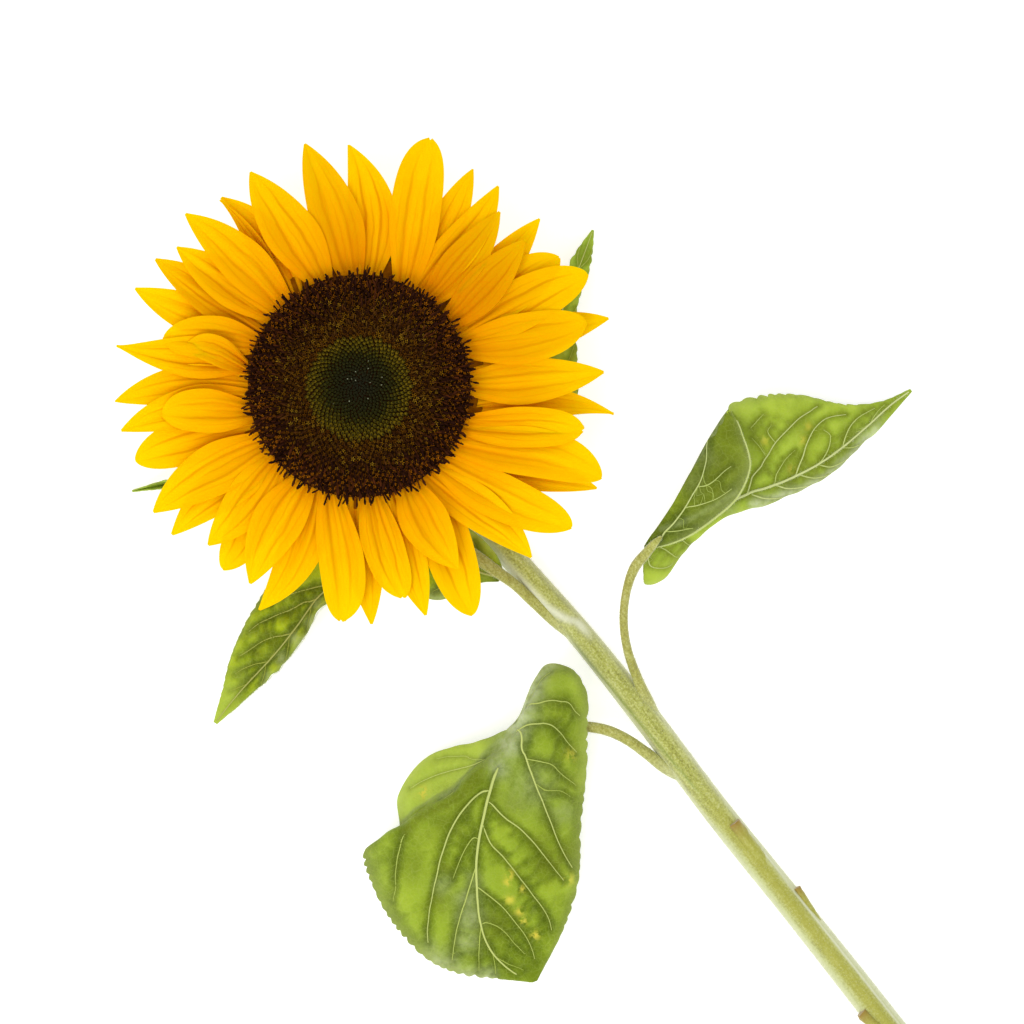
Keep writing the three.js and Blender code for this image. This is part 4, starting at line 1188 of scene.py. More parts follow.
def toothed_margin(surface, along, side, teeth, chance):
    """How far across the margin lies at each place along, 1 where it isn't notched."""
    width = np.maximum(surface.half_width(along, side), 0.5)
    run = run_along(surface.at(along, np.full_like(along, side)))
    phase = run / teeth.every + 0.25 * np.sin(run * 0.31 + chance.uniform(0, 6))
    saw, swell = (1 - np.mod(phase, 1)) ** 1.4, 0.5 - 0.5 * np.cos(2 * math.pi * phase)
    scallop = 1 - np.abs(np.sin(math.pi * phase)) ** 0.8
    notch = swell if teeth.every > WIDE_TEETH else scallop if teeth.every > ROUND_TEETH else saw
    size = teeth.depth * (0.7 + 0.3 * np.sin(run * 0.23 + chance.uniform(0, 6)))
    size = size * np.clip((along - teeth.start) / 0.04, 0, 1) * np.clip((1 - along) / 0.16, 0, 1)
    return 1 - np.minimum(size * notch / width, 0.4)


def nearest(points, samples):
    tree = kdtree.KDTree(len(samples))
    for i, sample in enumerate(samples):
        tree.insert(sample, i)
    tree.balance()
    return np.array([tree.find(p)[2] for p in points])


def vein_path(surface, places):
    """Close points along a vein, with small kinks that fade out at both ends."""
    places = np.asarray(places, float)
    length = length_of(surface.at(*places.T))
    path = evenly(places, max(8, int(length / VEIN_STEP)))
    run = np.arange(len(path)) * VEIN_STEP
    kinks = np.sin(0.9 * run + 40 * places[-1, 0]) + np.sin(0.4 * run + 55 * places[-1, 1])
    kinks = kinks * np.clip(np.minimum(run, run[::-1]) / 4, 0, 1)
    return path + kinks[:, None] * KINK


def cross_veins(surface, paths, chance):
    """Short bent rungs between neighbouring side veins."""
    rungs = []
    for path_a, path_b in zip(paths[:-1], paths[1:]):
        a, b = surface.at(*path_a.T), surface.at(*path_b.T)
        for i in range(RUNG_EVERY, len(a) - 2, RUNG_EVERY):
            i += int(chance.integers(-2, 3))
            gap = np.linalg.norm(b - a[i], axis=1)
            j = int(np.argmin(gap))
            if RUNG_GAP[0] < gap[j] < RUNG_GAP[1]:
                start, end = path_a[i], path_b[j]
                bends = [start * (1 - t) + end * t + chance.normal(0, RUNG_SLANT, 2) for t in RUNG_BENDS]
                rungs.append(evenly([start, *bends, end], max(5, int(gap[j] / 0.8))))
    return rungs


def soft_spots(points, spots):
    """Soft round patches, each given as (x, y, radius, strength) and laid on from above."""
    strongest = np.zeros(points.shape[:-1])
    for x, y, radius, strength in spots:
        away = (points[..., 0] - x) ** 2 + (points[..., 1] - y) ** 2
        strongest = np.maximum(strongest, strength * np.exp(-away / radius**2))
    return strongest


def streak(points, radius, strength):
    """Patches so close along a line that they read as one."""
    points = np.asarray(points, float)
    return [(x, y, radius, strength) for x, y in evenly(points, int(length_of(points) / radius * 2) + 1)]


def beyond(points, line):
    """1 on the far side of a line laid over the leaf, crisp at the line and soft past its ends."""
    x, y = np.asarray(line, float).T
    past = np.clip((points[..., 1] - np.interp(points[..., 0], x, y)) / 0.8, 0, 1)
    return past * np.clip((points[..., 0] - x[0]) / 2, 0, 1) * np.clip((x[-1] - points[..., 0]) / 8, 0, 1)


def vein_tubes(surface, paths, sunk):
    """Veins that lie in the blade by a share of their radius, on whichever of its faces looks up."""
    shapes = []
    for size, path in paths:
        radii = size * np.linspace(0.85, 0.35, len(path)) * np.minimum(1, 0.45 + 0.08 * np.arange(len(path)))
        rise = LEAF_THICKNESS / 2 - sunk * radii
        facing = surface.normal(*path.T)
        spots = surface.at(*path.T) + facing * (rise * np.tanh(8 * facing[:, 2]))[:, None]
        shapes.append(tube(spots, radii, 6 if size > RUNG_SIZE else 4, 1, size=size))
    return shapes


def leaf_margins(surface, leaf, chance):
    along = np.linspace(0, 1, leaf.rows + 1)
    sides = zip((-1, 1), leaf.teeth)
    return {side: toothed_margin(surface, along, side, teeth, chance) for side, teeth in sides}


def quilting(u, v, points, far_main, far_small, leaf):
    """How high the blade bulges, 0 at the veins."""
    x, y = points[..., 0], points[..., 1]
    ripple = np.sin(0.5 * x + 1.6 * np.sin(0.31 * y)) * np.cos(0.37 * y - 0.2 * x)
    quilt = (1 - hump(far_main, 2.6)) * (0.62 + 0.35 * ripple) + 0.5 * (1 - hump(far_small, 1.2))
    fade = np.minimum(1, 6 * (1 - np.abs(v)) + 0.2) * np.minimum(1, 8 * u)
    fade = fade * np.minimum(1, 6 * (1 - u) + 0.1)
    return quilt * fade * (1 + 0.7 * soft_spots(points, leaf.shades.get("pucker", ())))


def blade(surface, margins, veins, leaf, chance):
    """The leaf's blade and veins as shapes."""
    paths = [(size, vein_path(surface, places)) for size, places in veins]
    side_veins = [path for _, path in paths[1:]]
    side_veins.sort(key=lambda path: (np.sign(path[-1, 1]), path[len(path) // 2, 0]))
    rungs = cross_veins(surface, side_veins, chance)
    along = np.linspace(0, 1, leaf.rows + 1)
    across = np.sin(np.linspace(-1, 1, leaf.columns + 1) * math.pi / 2 * CROWDING)
    across = across / math.sin(math.pi / 2 * CROWDING)
    u, v = np.meshgrid(along, across, indexing="ij")
    v = v * np.where(v < 0, margins[-1][:, None], margins[1][:, None])
    u = u + leaf.foot * (1 - u) * np.clip(-3 * v, 0, 1)
    points, normals = surface.at(u, v), surface.normal(u, v)
    main = np.concatenate([surface.at(*path.T) for _, path in paths])
    small = np.concatenate([main] + [surface.at(*path.T) for path in rungs])
    far_main, far_small = (nearest(points.reshape(-1, 3), near).reshape(u.shape) for near in (main, small))
    lift = quilting(u, v, points, far_main, far_small, leaf)
    middle = points + normals * (leaf.bulge * lift)[..., None]
    bent = grid_normals(middle) * surface.upward
    tip = np.clip((u - TIP_START) / (1 - TIP_START), 0, 1)
    marks = {"lift": lift + 0.5 * tip, "edge": np.abs(v) ** 14, "near": hump(far_main, 0.9) * (1 - tip)}
    marks.update({shade: soft_spots(points, leaf.shades.get(shade, ())) for shade in SHADES})
    if "behind" in leaf.shades:
        marks["bright"] = np.maximum(marks["bright"], beyond(points, leaf.shades["behind"]))
    upper = middle + bent * LEAF_THICKNESS / 2, {**marks, "underside": float(leaf.underside_up)}
    lower = middle - bent * LEAF_THICKNESS / 2, {**marks, "underside": float(not leaf.underside_up)}
    (front, front_marks), (back, back_marks) = (upper, lower)[::surface.upward]
    body = shell(front, back, 0, front_marks, back_marks)
    sunk = UNDERSIDE_SUNK if leaf.underside_up else TOP_SUNK
    return [body] + vein_tubes(surface, paths + [(RUNG_SIZE, path) for path in rungs], sunk)


# %% [markdown]
# Leaf green is never one green. Soft noise and the height of the quilting choose between a light, a
# middle and a dark green, so the crests are painted light and the valleys painted dark, as light and
# shade would make them. Over that lie patches put down like dabs of paint: painted light in sunny
# yellow green, bright places where painted light shines through, painted shade in gloomy hollows and
# along the main veins, grey and white painted sheen where the down shines, and small golden flecks
# of damage. A fine net of veinlets covers everything. The underside is paler, and a mark tells the
# finish which side it is on.


# %% Leaf finishes
# Kinds of patch: all are painted light, shade or sheen except the golden flecks, which are damage.
SHADES = ("bloom", "sun", "gloom", "gold", "bright", "frost")
GREEN_STOPS = (0.15, 0.5, 0.85)


def leaf_finish(name, top, under):
    """top and under each give a dark, a middle and a light green."""
    finish = Finish(
        name, Roughness=0.6, Specular_IOR_Level=0.1,
        Subsurface_Weight=0.1, Subsurface_Radius=(0.6, 1.0, 0.1), Subsurface_Scale=0.0006,
    )
    spot = finish.place()
    broad, fine = finish.noise(spot, 0.09, 3), finish.noise(spot, 0.5, 4, 0.6)
    # The height of the quilting paints the crests light and the valleys dark: painted light and shade.
    amount = finish.mark("lift") * 0.6 + broad * 0.7 + fine * 0.6 - 0.55
    stops = [[(place, *green) for place, green in zip(GREEN_STOPS, greens)] for greens in (top, under)]
    finish.coat(finish.blend(finish.mark("underside"), *(finish.ramp(amount, *greens) for greens in stops)))
    broken = fine.step(0.3, 0.62) * 0.5 + 0.5
    cells = {"feature": "DISTANCE_TO_EDGE"}
    small_cells, large_cells = (
        finish.node("ShaderNodeTexVoronoi", cells, {"Vector": spot, "Scale": scale}) for scale in (0.85, 0.34)
    )
    veinlet = (1 - small_cells.step(0.0, 0.1)) * 0.08 + (1 - large_cells.step(0.0, 0.05)) * 0.10
    # Painted light where it falls and where it shines through, painted shade in hollows and along the main
    # veins, painted sheen in grey and white where the down shines, then golden flecks of damage, the veinlet
    # net and pale margins.
    for amount, colour in (
        (finish.mark("sun") * broken * 0.6, (172, 192, 52)),
        (finish.mark("bright") * (0.95 - fine * 0.5), (188, 208, 78)),
        (finish.mark("gloom") * broken * 0.95, (96, 108, 8)),
        (finish.mark("bloom") * broken * 0.8, (156, 168, 108)),
        (finish.mark("frost") * broken * 0.8, (208, 216, 176)),
        (finish.mark("gold") * fine.step(0.42, 0.52), (214, 200, 70)),
        # Painted shade along the main veins, where the blade is held down.
        (finish.mark("near") * 0.35, (96, 110, 12)),
        (veinlet, (190, 204, 110)),
        (finish.mark("edge") * 0.35, (196, 208, 124)),
    ):
        finish.over(amount, colour)
    finish.bump(finish.noise(spot, 2.2, 3) * 0.5 + small_cells.step(0.0, 0.5), 0.12, 0.5)
    return finish


def vein_finish(name, pale, green):
    """Thick veins are pale and thin ones greener."""
    finish = Finish(name, Roughness=0.7, Specular_IOR_Level=0.1)
    fleck = finish.noise(finish.place(), 1.6, 2)
    amount = (finish.mark("size") + (fleck - 0.5) * 0.2).step(0.1, 0.45)
    finish.coat(finish.blend(amount, green, pale))
    finish.bump(fleck, 0.05, 0.5)
    return finish


UNDER_GREENS = ((130, 150, 50), (158, 178, 68), (178, 196, 84))
leaf_green = leaf_finish("leaf_green", ((84, 102, 6), (114, 134, 20), (144, 166, 40)), UNDER_GREENS)
leaf_pale = leaf_finish(
    "leaf_pale_side", ((70, 86, 8), (92, 108, 14), (124, 142, 28)),
    ((122, 138, 34), (148, 170, 48), (172, 194, 64)),
)
leaf_deep = leaf_finish(
    "leaf_deep", ((82, 96, 0), (128, 146, 4), (170, 186, 20)),
    ((130, 146, 50), (158, 172, 70), (180, 194, 90)),
)
leaf_fresh = leaf_finish("leaf_fresh", ((142, 168, 44), (168, 196, 66), (190, 212, 92)), UNDER_GREENS)
vein_pale = vein_finish("vein_pale", (196, 206, 120), (168, 186, 70))
vein_white = vein_finish("vein_white", (206, 214, 146), (178, 196, 88))
vein_olive = vein_finish("vein_olive", (176, 178, 98), (158, 168, 50))
hair_white = Finish("hair_white", Roughness=0.7)
hair_white.coat(hair_white.blend(hair_white.mark("height"), (190, 198, 140), (232, 236, 214)))

# %% [markdown]
# Hairs are three-sided spikes: real geometry, so they catch the light along the outline of a stem,
# where a sunflower looks softly fuzzy. Particle hair would be quicker to make, but it isn't a mesh.

# %% Hairs
HAIR = (
    np.array([[1, 0, 0], [-0.5, 0.87, 0], [-0.5, -0.87, 0], [0, 0, 1]]),
    [np.array([[0, 2, 1], [0, 1, 3], [1, 2, 3], [2, 0, 3]])],
    {"height": np.array([0.0, 0.0, 0.0, 1.0])},
)


def hairs(roots, outward, length, thickness, chance, finish):
    """One spike at each root, most of them near the outward direction."""
    count = len(roots)
    up = unit(outward + chance.normal(0, 0.35, (count, 3)))
    frames = frames_from(up, unit(chance.normal(0, 1, (count, 3))))
    lengths = length * chance.uniform(0.45, 1.25, count)
    scale = np.stack([np.full(count, thickness), np.full(count, thickness), lengths], axis=-1)
    return scatter(HAIR, roots - up * 0.05, frames * scale[:, None, :], np.ones(count), finish)


def tube_hairs(path, radii, density, length, thickness, chance, finish):
    """Hairs all over a tube, so many per square millimetre."""
    steps = np.linalg.norm(np.diff(path, axis=0), axis=1)
    mean_radius = (radii[1:] + radii[:-1]) / 2
    area = steps * mean_radius * 2 * math.pi
    count = int(area.sum() * density)
    segment = chance.choice(len(steps), count, p=area / area.sum())
    share, angle = chance.uniform(0, 1, count), chance.uniform(0, 2 * math.pi, count)
    across, up, _ = ring_frames(path)
    outward = unit(across[segment] * np.cos(angle)[:, None] + up[segment] * np.sin(angle)[:, None])
    centre = path[segment] + (path[segment + 1] - path[segment]) * share[:, None]
    reach = radii[segment] + (radii[segment + 1] - radii[segment]) * share
    roots = centre + outward * reach[:, None]
    keep = roots[:, 2] + outward[:, 2] * length > 0.1
    return hairs(roots[keep], outward[keep], length, thickness, chance, finish)


# %% [markdown]
# A leaf's stalk is a tube that leaves the stem with a wide foot and runs on under the rib. Its route
# is nearly the solid's, in x, y, height and radius. Stem and stalks share one finish: streaks and
# flecks of olive, with marks for pale, brown and mottled zones and for a green groove.

# %% Leaf stalks
PETIOLES = {
    "leaf_low": [
        (3.6, -143, 5.4, 2.6), (-0.6, -135.5, 5.6, 2.1), (-2.6, -128, 7.2, 1.75),
        (-4.6, -121, 8.8, 1.65), (-7.8, -114.6, 9.8, 1.65), (-13, -109, 10.8, 1.65),
        (-20, -104.5, 12.6, 1.6), (-28, -102, 16, 1.5), (-35.5, -102.4, 19.6, 1.3),
        (-43, -105.2, 20.2, 1.1), (-51, -110.2, 18.8, 0.9), (-66, -125.5, 13.4, 0.7),
    ],
    "leaf_right": [
        (3.6, -125.8, 5.4, 3.1), (7, -116.8, 6.2, 2.2), (9.4, -108.6, 9, 1.6), (12.7, -99.4, 12.2, 1.35),
        (17.4, -91.6, 15, 1.3), (23.8, -85.1, 16.8, 1.35), (30, -81.2, 18.2, 1.6),
        (35.6, -79.9, 20.8, 1.5), (39.2, -79.2, 22.2, 1.15), (42, -78.9, 22.9, 0.5),
    ],
    "leaf_left": [
        (4.6, -90, 5, 2.6), (1.3, -80, 5.4, 2.1), (-0.6, -70, 6.6, 1.7), (-1.7, -62.5, 8, 1.65),
        (-3.2, -57, 9.6, 1.8), (-4.6, -52, 11, 1.95), (-5.8, -47.5, 12, 1.9), (-7.5, -42, 12.2, 1.5),
        (-10, -36, 11.6, 0.8),
    ],
    "leaf_top": [
        (1.6, -50, 4.4, 2.2), (5.6, -44, 5.2, 1.7), (11, -38.5, 7.2, 1.4), (17, -33.8, 8.8, 1.3),
        (23.5, -29.8, 9.4, 1.2), (40, -19.5, 10.7, 0.9), (60, -7.7, 8.8, 0.7),
    ],
    "leaf_side": [
        (0.4, -8, 4, 1.9), (-3.8, -5, 5.2, 1.5), (-9, -1.8, 7, 1.2), (-19, 3.4, 8.1, 0.9),
        (-43, 16.1, 8, 0.7),
    ],
}
STALK_SIDES = 14
STATION_STEPS = 12
HAIRS_A_SQUARE_MM = 2.2

stem_finish = Finish("stem_olive", Roughness=0.6, Sheen_Weight=0.5, Sheen_Roughness=0.4)
stem_spot = stem_finish.place()
stem_long = stem_finish.node(
    "ShaderNodeVectorMath", {"operation": "MULTIPLY"}, {0: stem_spot, 1: (1.0, 0.12, 1.0)},
)
stem_streak = stem_finish.noise(stem_long, 0.9, 4, 0.6)
stem_fleck = stem_finish.noise(stem_spot, 1.7, 4, 0.7)
stem_speck = stem_finish.noise(stem_spot, 3.4, 2, 0.5)
stem_mottle = stem_finish.mark("mottle") + (stem_streak - 0.5) * 0.5 + (stem_fleck - 0.5) * 0.9
stem_finish.coat(stem_finish.ramp(
    stem_streak * 0.35 + stem_fleck * 0.65, (0.36, 124, 124, 38), (0.5, 178, 182, 80), (0.64, 214, 218, 146),
))
stem_finish.over(stem_speck.step(0.54, 0.64) * 0.5, (118, 110, 36))
stem_finish.over(stem_finish.mark("olive") * (1.2 - stem_fleck), (164, 162, 50))
stem_finish.over(stem_mottle.step(0.2, 1.05) * 0.75, (192, 198, 136))
stem_finish.over(stem_finish.mark("pale"), (230, 232, 208))
stem_finish.over(stem_finish.mark("groove") * 0.8, (124, 140, 40))
stem_finish.over(stem_finish.mark("brown"), (150, 120, 36))
stem_finish.bump(stem_streak + stem_fleck * 0.5, 0.12, 0.7)


def stalk(name, chance, finish, hair):
    """A leaf's stalk, pale at its foot, with its hairs."""
    stations = np.array(PETIOLES[name])
    line = smooth(stations, np.linspace(0, len(stations) - 1, STATION_STEPS * len(stations)))
    path, radii = line[:, :3], line[:, 3]
    run = np.linspace(0, 1, len(path))
    pale, brown = 0.35 * hump(run, 0.12), 0.24 * np.sin(math.pi * run)
    return [
        tube(path, radii, STALK_SIDES, finish, pale=pale, brown=brown),
        tube_hairs(path, radii, HAIRS_A_SQUARE_MM, 0.75, 0.035, chance, hair),
    ]


# %% [markdown]
# Each leaf's own facts are the size of its grid, how far it bulges, the teeth of its two margins, how
# much of the blade is missing beside its stalk, whether its underside faces up, and its patches. A
# patch is x, y, radius and strength; `streak` sets many along a line. Puckered places bulge more.
# Behind the fold of the low leaf lies a part that the light shines through.

# %% Leaf facts
Leaf = namedtuple("Leaf", "rows columns bulge teeth foot underside_up shades")
FOLD_EDGE = np.array([
    (-33, -96.9), (-43.6, -97.6), (-48.9, -98.9), (-54.7, -99.7), (-61.6, -98.9), (-67.6, -97.9),
    (-71.9, -98), (-75.1, -97.7),
])
RIGHT_RIB_SIDE = [(43.5, -77.2), (50, -79.5), (56.4, -80.9), (62.2, -81.9), (67.6, -82.5)]
RIGHT_RIM = [(114, -94.6), (106, -95.6), (97, -96.4), (88, -95.4), (79, -92.4), (70, -88.6)]
LOW_RIM = [(-7, -97), (-9, -103), (-13.4, -110), (-18.4, -116.5), (-23, -121.6)]
# Most patches paint light and shade: light that falls or shines through, shade in hollows and along the fold,
# and sheen on the down and along ridges; the golden flecks are damage and puckers bulge.
LEAVES = {
    "leaf_low": Leaf(200, 94, 1.0, (Teeth(3.0, 1.4, 0.38), Teeth(4.2, 1.0, 0.3)), 0.0, False, {
        "behind": FOLD_EDGE[::-1],
        "bright": [*streak(LOW_RIM, 2.4, 0.45), (-12, -93, 3.5, 0.3)],
        "frost": [
            (-9.5, -87.7, 3, 0.6), (-13.6, -88.6, 3, 0.8), (-17.7, -90.4, 3, 0.9), (-22, -93, 2.8, 0.9),
            (-25.1, -94.9, 2.6, 0.9), (-28.3, -96.8, 2.6, 0.8), (-33, -99.5, 2.4, 0.6),
            (-40, -102, 2.4, 0.45), (-88, -147, 3, 0.6), (-84, -151, 3, 0.6), (-93, -139, 2.6, 0.5),
        ],
        "pucker": [
            (-52, -118, 8, 1), (-57, -130, 6, 1), (-45, -140, 6, 1), (-82, -118, 7, 0.8),
            (-34, -124, 5, 0.5),
        ],
        "bloom": [
            *streak(FOLD_EDGE, 0.8, 0.6), (-19, -91, 5, 0.8), (-24, -94, 5, 0.9), (-30, -97, 4.5, 0.8),
            (-35, -100, 4.5, 0.8), (-40, -104, 3.5, 0.6), (-36, -113, 7, 0.6), (-73, -128, 3.5, 0.9),
            (-76, -133, 4, 1), (-81, -138, 3.5, 0.9), (-68, -125, 3, 0.6), (-76, -120, 3, 0.6),
            (-92, -136, 4.5, 0.8), (-90, -141, 4, 0.8), (-34, -125, 3.5, 0.6),
        ],
        "sun": [
            (-50, -118, 3.6, 0.5), (-87, -116, 5, 0.7), (-51, -141, 4, 0.6), (-55, -119, 3, 0.6),
            (-17, -98, 4, 0.5), (-17, -113, 4, 0.6), (-24, -122, 4, 0.5), (-57, -127, 3.4, 0.5),
            (-47, -143, 4, 0.5), (-72, -107, 5, 0.5), (-86, -122, 4, 0.5),
        ],
        "gloom": [
            *streak(FOLD_EDGE + [0.8, -2.2], 1.6, 0.85), (-56, -104, 5, 0.6), (-63, -104.5, 5, 0.6),
            (-70, -104.5, 4, 0.5), (-62, -109, 5, 0.4), (-14, -103, 9, 0.25), (-20, -110, 8, 0.2),
            (-26, -116, 8, 0.2), (-43.5, -113.5, 5, 0.55), (-46, -135, 5, 1), (-40, -136, 4, 0.9),
            (-45, -128, 4, 0.7), (-58, -103, 5, 0.6), (-80, -123, 4, 0.8), (-72, -116, 2.5, 0.8),
            (-46, -108, 4, 0.5), (-80, -110, 5, 0.5), (-38, -125, 4, 0.6), (-72, -140, 5, 0.7),
        ],
        "gold": [
            (-58, -130, 1.2, 1), (-60, -131, 1, 1), (-58, -136, 1, 0.9), (-63, -136, 1.3, 1),
            (-63, -141, 1.2, 1), (-64, -144, 1.1, 0.9), (-64, -150, 1.3, 1), (-63, -95, 1.8, 0.9),
            (-21, -113, 1.6, 0.6), (-45, -143, 1.5, 0.6),
        ],
    }),
    "leaf_right": Leaf(200, 76, 0.55, (Teeth(3.9, 1.3, 0.56), Teeth(5.0, 0.3, 0.0)), 0.03, True, {
        "pucker": [(72, -74, 7, 1), (90, -80, 7, 0.6), (104, -84, 6, 0.6)],
        "bloom": [
            (67, -68, 4, 0.4), (60, -72, 4, 0.25), (109, -95, 3, 0.9), *streak(RIGHT_RIB_SIDE, 0.9, 0.6),
            (99, -97, 2.6, 0.9), (88, -96, 2.6, 0.9), (80, -93, 2.8, 0.9), (72, -90, 2.6, 0.8),
            (64, -86, 2.4, 0.6), (116, -94, 2.4, 0.8),
        ],
        "sun": [
            (85, -64, 3, 1), (95, -70, 6, 0.9), (101, -74, 5, 0.7), (84, -77, 4, 0.8),
            (94, -88, 3.5, 0.8), (100, -86, 3, 0.8), (108, -82, 4, 0.6), (62, -78, 4, 0.7),
            (55, -77, 3.5, 0.6), (40, -89, 4, 0.8), (33, -88, 5, 1),
        ],
        "gloom": [
            (69, -72, 6, 0.8), (63, -76, 6, 0.9), (78, -68, 5, 0.8), (71, -71, 5, 0.9),
            (73, -76, 5, 0.8), (90, -87, 3, 0.8), (86, -88, 2.6, 1), (97, -82, 5, 0.6),
            (96, -92, 2.4, 1), (106, -90, 2.6, 0.7), (83, -91, 2.6, 0.9), (105, -95, 2, 0.7),
        ],
        "gold": [(86, -88, 1.2, 0.5), (94, -83, 1.2, 0.6), (98, -81, 1.2, 0.5), (85, -76, 1.2, 0.6)],
        "bright": [(40, -89, 4, 0.5), (33, -88.5, 4.5, 0.7)],
        "frost": streak(RIGHT_RIM, 1.3, 0.7),
    }),
    "leaf_left": Leaf(170, 56, 0.95, (Teeth(2.6, 0.6, 0.3), Teeth(9.0, 0.5, 0.4)), 0.0, False, {
        "pucker": [(-60, -27, 6, 1), (-70, -28, 5, 1), (-76, -31, 4, 1)],
        "bloom": [
            (-64, -34, 2.2, 1), (-52, -30, 2, 1), (-57, -33, 2.2, 1), (-71, -36, 2.2, 0.8),
            (-78, -38, 2.4, 0.7), (-23, -51, 3, 1), (-13, -54, 2, 0.6),
        ],
        "sun": [
            (-59, -22, 2.6, 0.9), (-81, -26, 3.4, 0.9), (-88, -31, 3, 0.9), (-94, -36, 3, 1),
            (-74, -24, 3.5, 0.7), (-74, -31, 2, 0.8), (-5, -50, 4, 1), (-3, -44, 4, 1),
        ],
        "gloom": [
            (-60, -27, 2.4, 1), (-56, -25, 2, 0.9), (-62, -24, 1.6, 0.8), (-70, -27, 2.4, 1),
            (-72, -24, 1.8, 0.8), (-70, -31, 2, 1), (-76, -30, 2.2, 1), (-63, -31, 1.8, 0.8),
            (-72, -36, 1.6, 1), (-55, -30, 1.8, 0.9), (-63, -27, 1.8, 0.7),
        ],
        "bright": [
            (-98.5, -37, 6, 1), (-92, -34, 5, 0.8), (-85, -31, 3, 0.4), (-1, -48, 4, 1), (-4, -43, 4, 1),
            (-6, -54, 3, 0.6),
        ],
    }),
    "leaf_top": Leaf(90, 36, 0.5, (Teeth(3.4, 0.7, 0.1), Teeth(3.4, 0.7, 0.1)), 0.0, False, {}),
    "leaf_side": Leaf(80, 36, 0.3, (Teeth(3.4, 0.6, 0.1), Teeth(3.4, 0.6, 0.1)), 0.0, False, {}),
}


# %% The five leaves
BLADE, VEIN, STALK, HAIR_SLOT = range(4)
FINE_HAIR = 0.03
MARGIN_HAIR = 0.035
RIM_STEPS = 160


def margin_down(surface, margins, chance, side, first, last, count, length):
    """Hairs that stand out from a stretch of margin."""
    along = chance.uniform(first, last, count)
    at_side = side * np.interp(along, np.linspace(0, 1, len(margins[side])), margins[side])
    rim = surface.at(along, at_side)
    outward = unit(rim - surface.at(along, at_side * 0.94))
    return hairs(rim, outward, length, MARGIN_HAIR, chance, HAIR_SLOT)


def rolled_rim(surface, first, last, radius, chance):
    """The thick downy rim of a rolled margin."""
    path = surface.at(np.linspace(first, last, RIM_STEPS), np.full(RIM_STEPS, -1.0))
    radii = radius * np.sin(np.linspace(0.3, math.pi - 0.3, RIM_STEPS)) ** 0.5
    down = tube_hairs(path, radii, 10.0, 0.5, FINE_HAIR, chance, HAIR_SLOT)
    return [tube(path, radii, 8, VEIN, size=0.3), down]


def make_leaf(name, rows, veins, upward, seed, looks, slot, extras=None, between=None):
    chance = draws(seed)
    surface = Surface(rows, upward, between)
    margins = leaf_margins(surface, LEAVES[name], chance)
    shapes = blade(surface, margins, veins, LEAVES[name], chance)
    shapes += stalk(name, chance, STALK, HAIR_SLOT)
    shapes += extras(surface, margins, chance) if extras else []
    make_piece(name + "_fine", shapes, [*looks, stem_finish, hair_white], slot, name)


# Where the rolled half of the right leaf turns over
FLAP_RIDGE = [
    (53, -72, 21.5), (59.3, -69.9, 21.2), (63.6, -68.2, 20.6), (68.2, -66.3, 19.9), (72, -64.8, 19.1),
    (75.6, -63.5, 18.4), (79.2, -62.2, 17.7), (82.3, -61.3, 17),
]
FLAP_INSET = np.array([0.3, -0.85, -0.75])
FLAP_STEPS = 60


def low_down(surface, margins, chance):
    stretches = [(-1, 0.55, 0.98, 1200, 0.5), (1, 0.1, 0.9, 900, 0.4)]
    return [margin_down(surface, margins, chance, *stretch) for stretch in stretches]


def right_down(surface, margins, chance):
    rib = surface.at(*vein_path(surface, RIGHT_VEINS[0][1]).T) + np.array([0, 0, 0.3])
    down = [tube_hairs(rib, np.full(len(rib), 0.5), 5.0, 0.5, FINE_HAIR, chance, HAIR_SLOT)]
    down.append(margin_down(surface, margins, chance, 1, 0.0, 0.95, 1500, 0.5))
    ridge = evenly(FLAP_RIDGE, FLAP_STEPS) + FLAP_INSET
    ridge_radii = np.sin(np.linspace(0.1, math.pi - 0.45, FLAP_STEPS + 1)) ** 0.5
    # The ridge of the roll carries painted light and painted sheen.
    down.append(tube(ridge, ridge_radii, 10, BLADE, lift=0.45, bloom=0.35, frost=0.12))
    return down + rolled_rim(surface, 0.03, 0.54, 0.3, chance)


def left_down(surface, margins, chance):
    return [margin_down(surface, margins, chance, 1, 0.3, 0.95, 1300, 0.7)]


PAIR_STARTS = (0.08, 0.2, 0.34, 0.5, 0.66, 0.8)
top_rows = rows_on_rib(LEAF_TOP_RIB, LEAF_TOP_HALF, LEAF_TOP_FOLD)
side_rows = rows_on_rib(LEAF_SIDE_RIB, LEAF_SIDE_HALF, LEAF_SIDE_FOLD)
make_leaf("leaf_low", LEAF_LOW, LOW_VEINS, -1, 31, (leaf_green, vein_pale), "leaf", low_down)
make_leaf(
    "leaf_right", LEAF_RIGHT, RIGHT_VEINS, 1, 32, (leaf_pale, vein_white),
    "leaf_underside", right_down, FOLD_END,
)
make_leaf("leaf_left", LEAF_LEFT, LEFT_VEINS, -1, 33, (leaf_deep, vein_olive), "leaf", left_down)
make_leaf("leaf_top", top_rows, paired_veins(0.42, PAIR_STARTS), 1, 34, (leaf_fresh, vein_pale), "leaf")
make_leaf("leaf_side", side_rows, paired_veins(0.36, PAIR_STARTS), 1, 35, (leaf_fresh, vein_pale), "leaf")
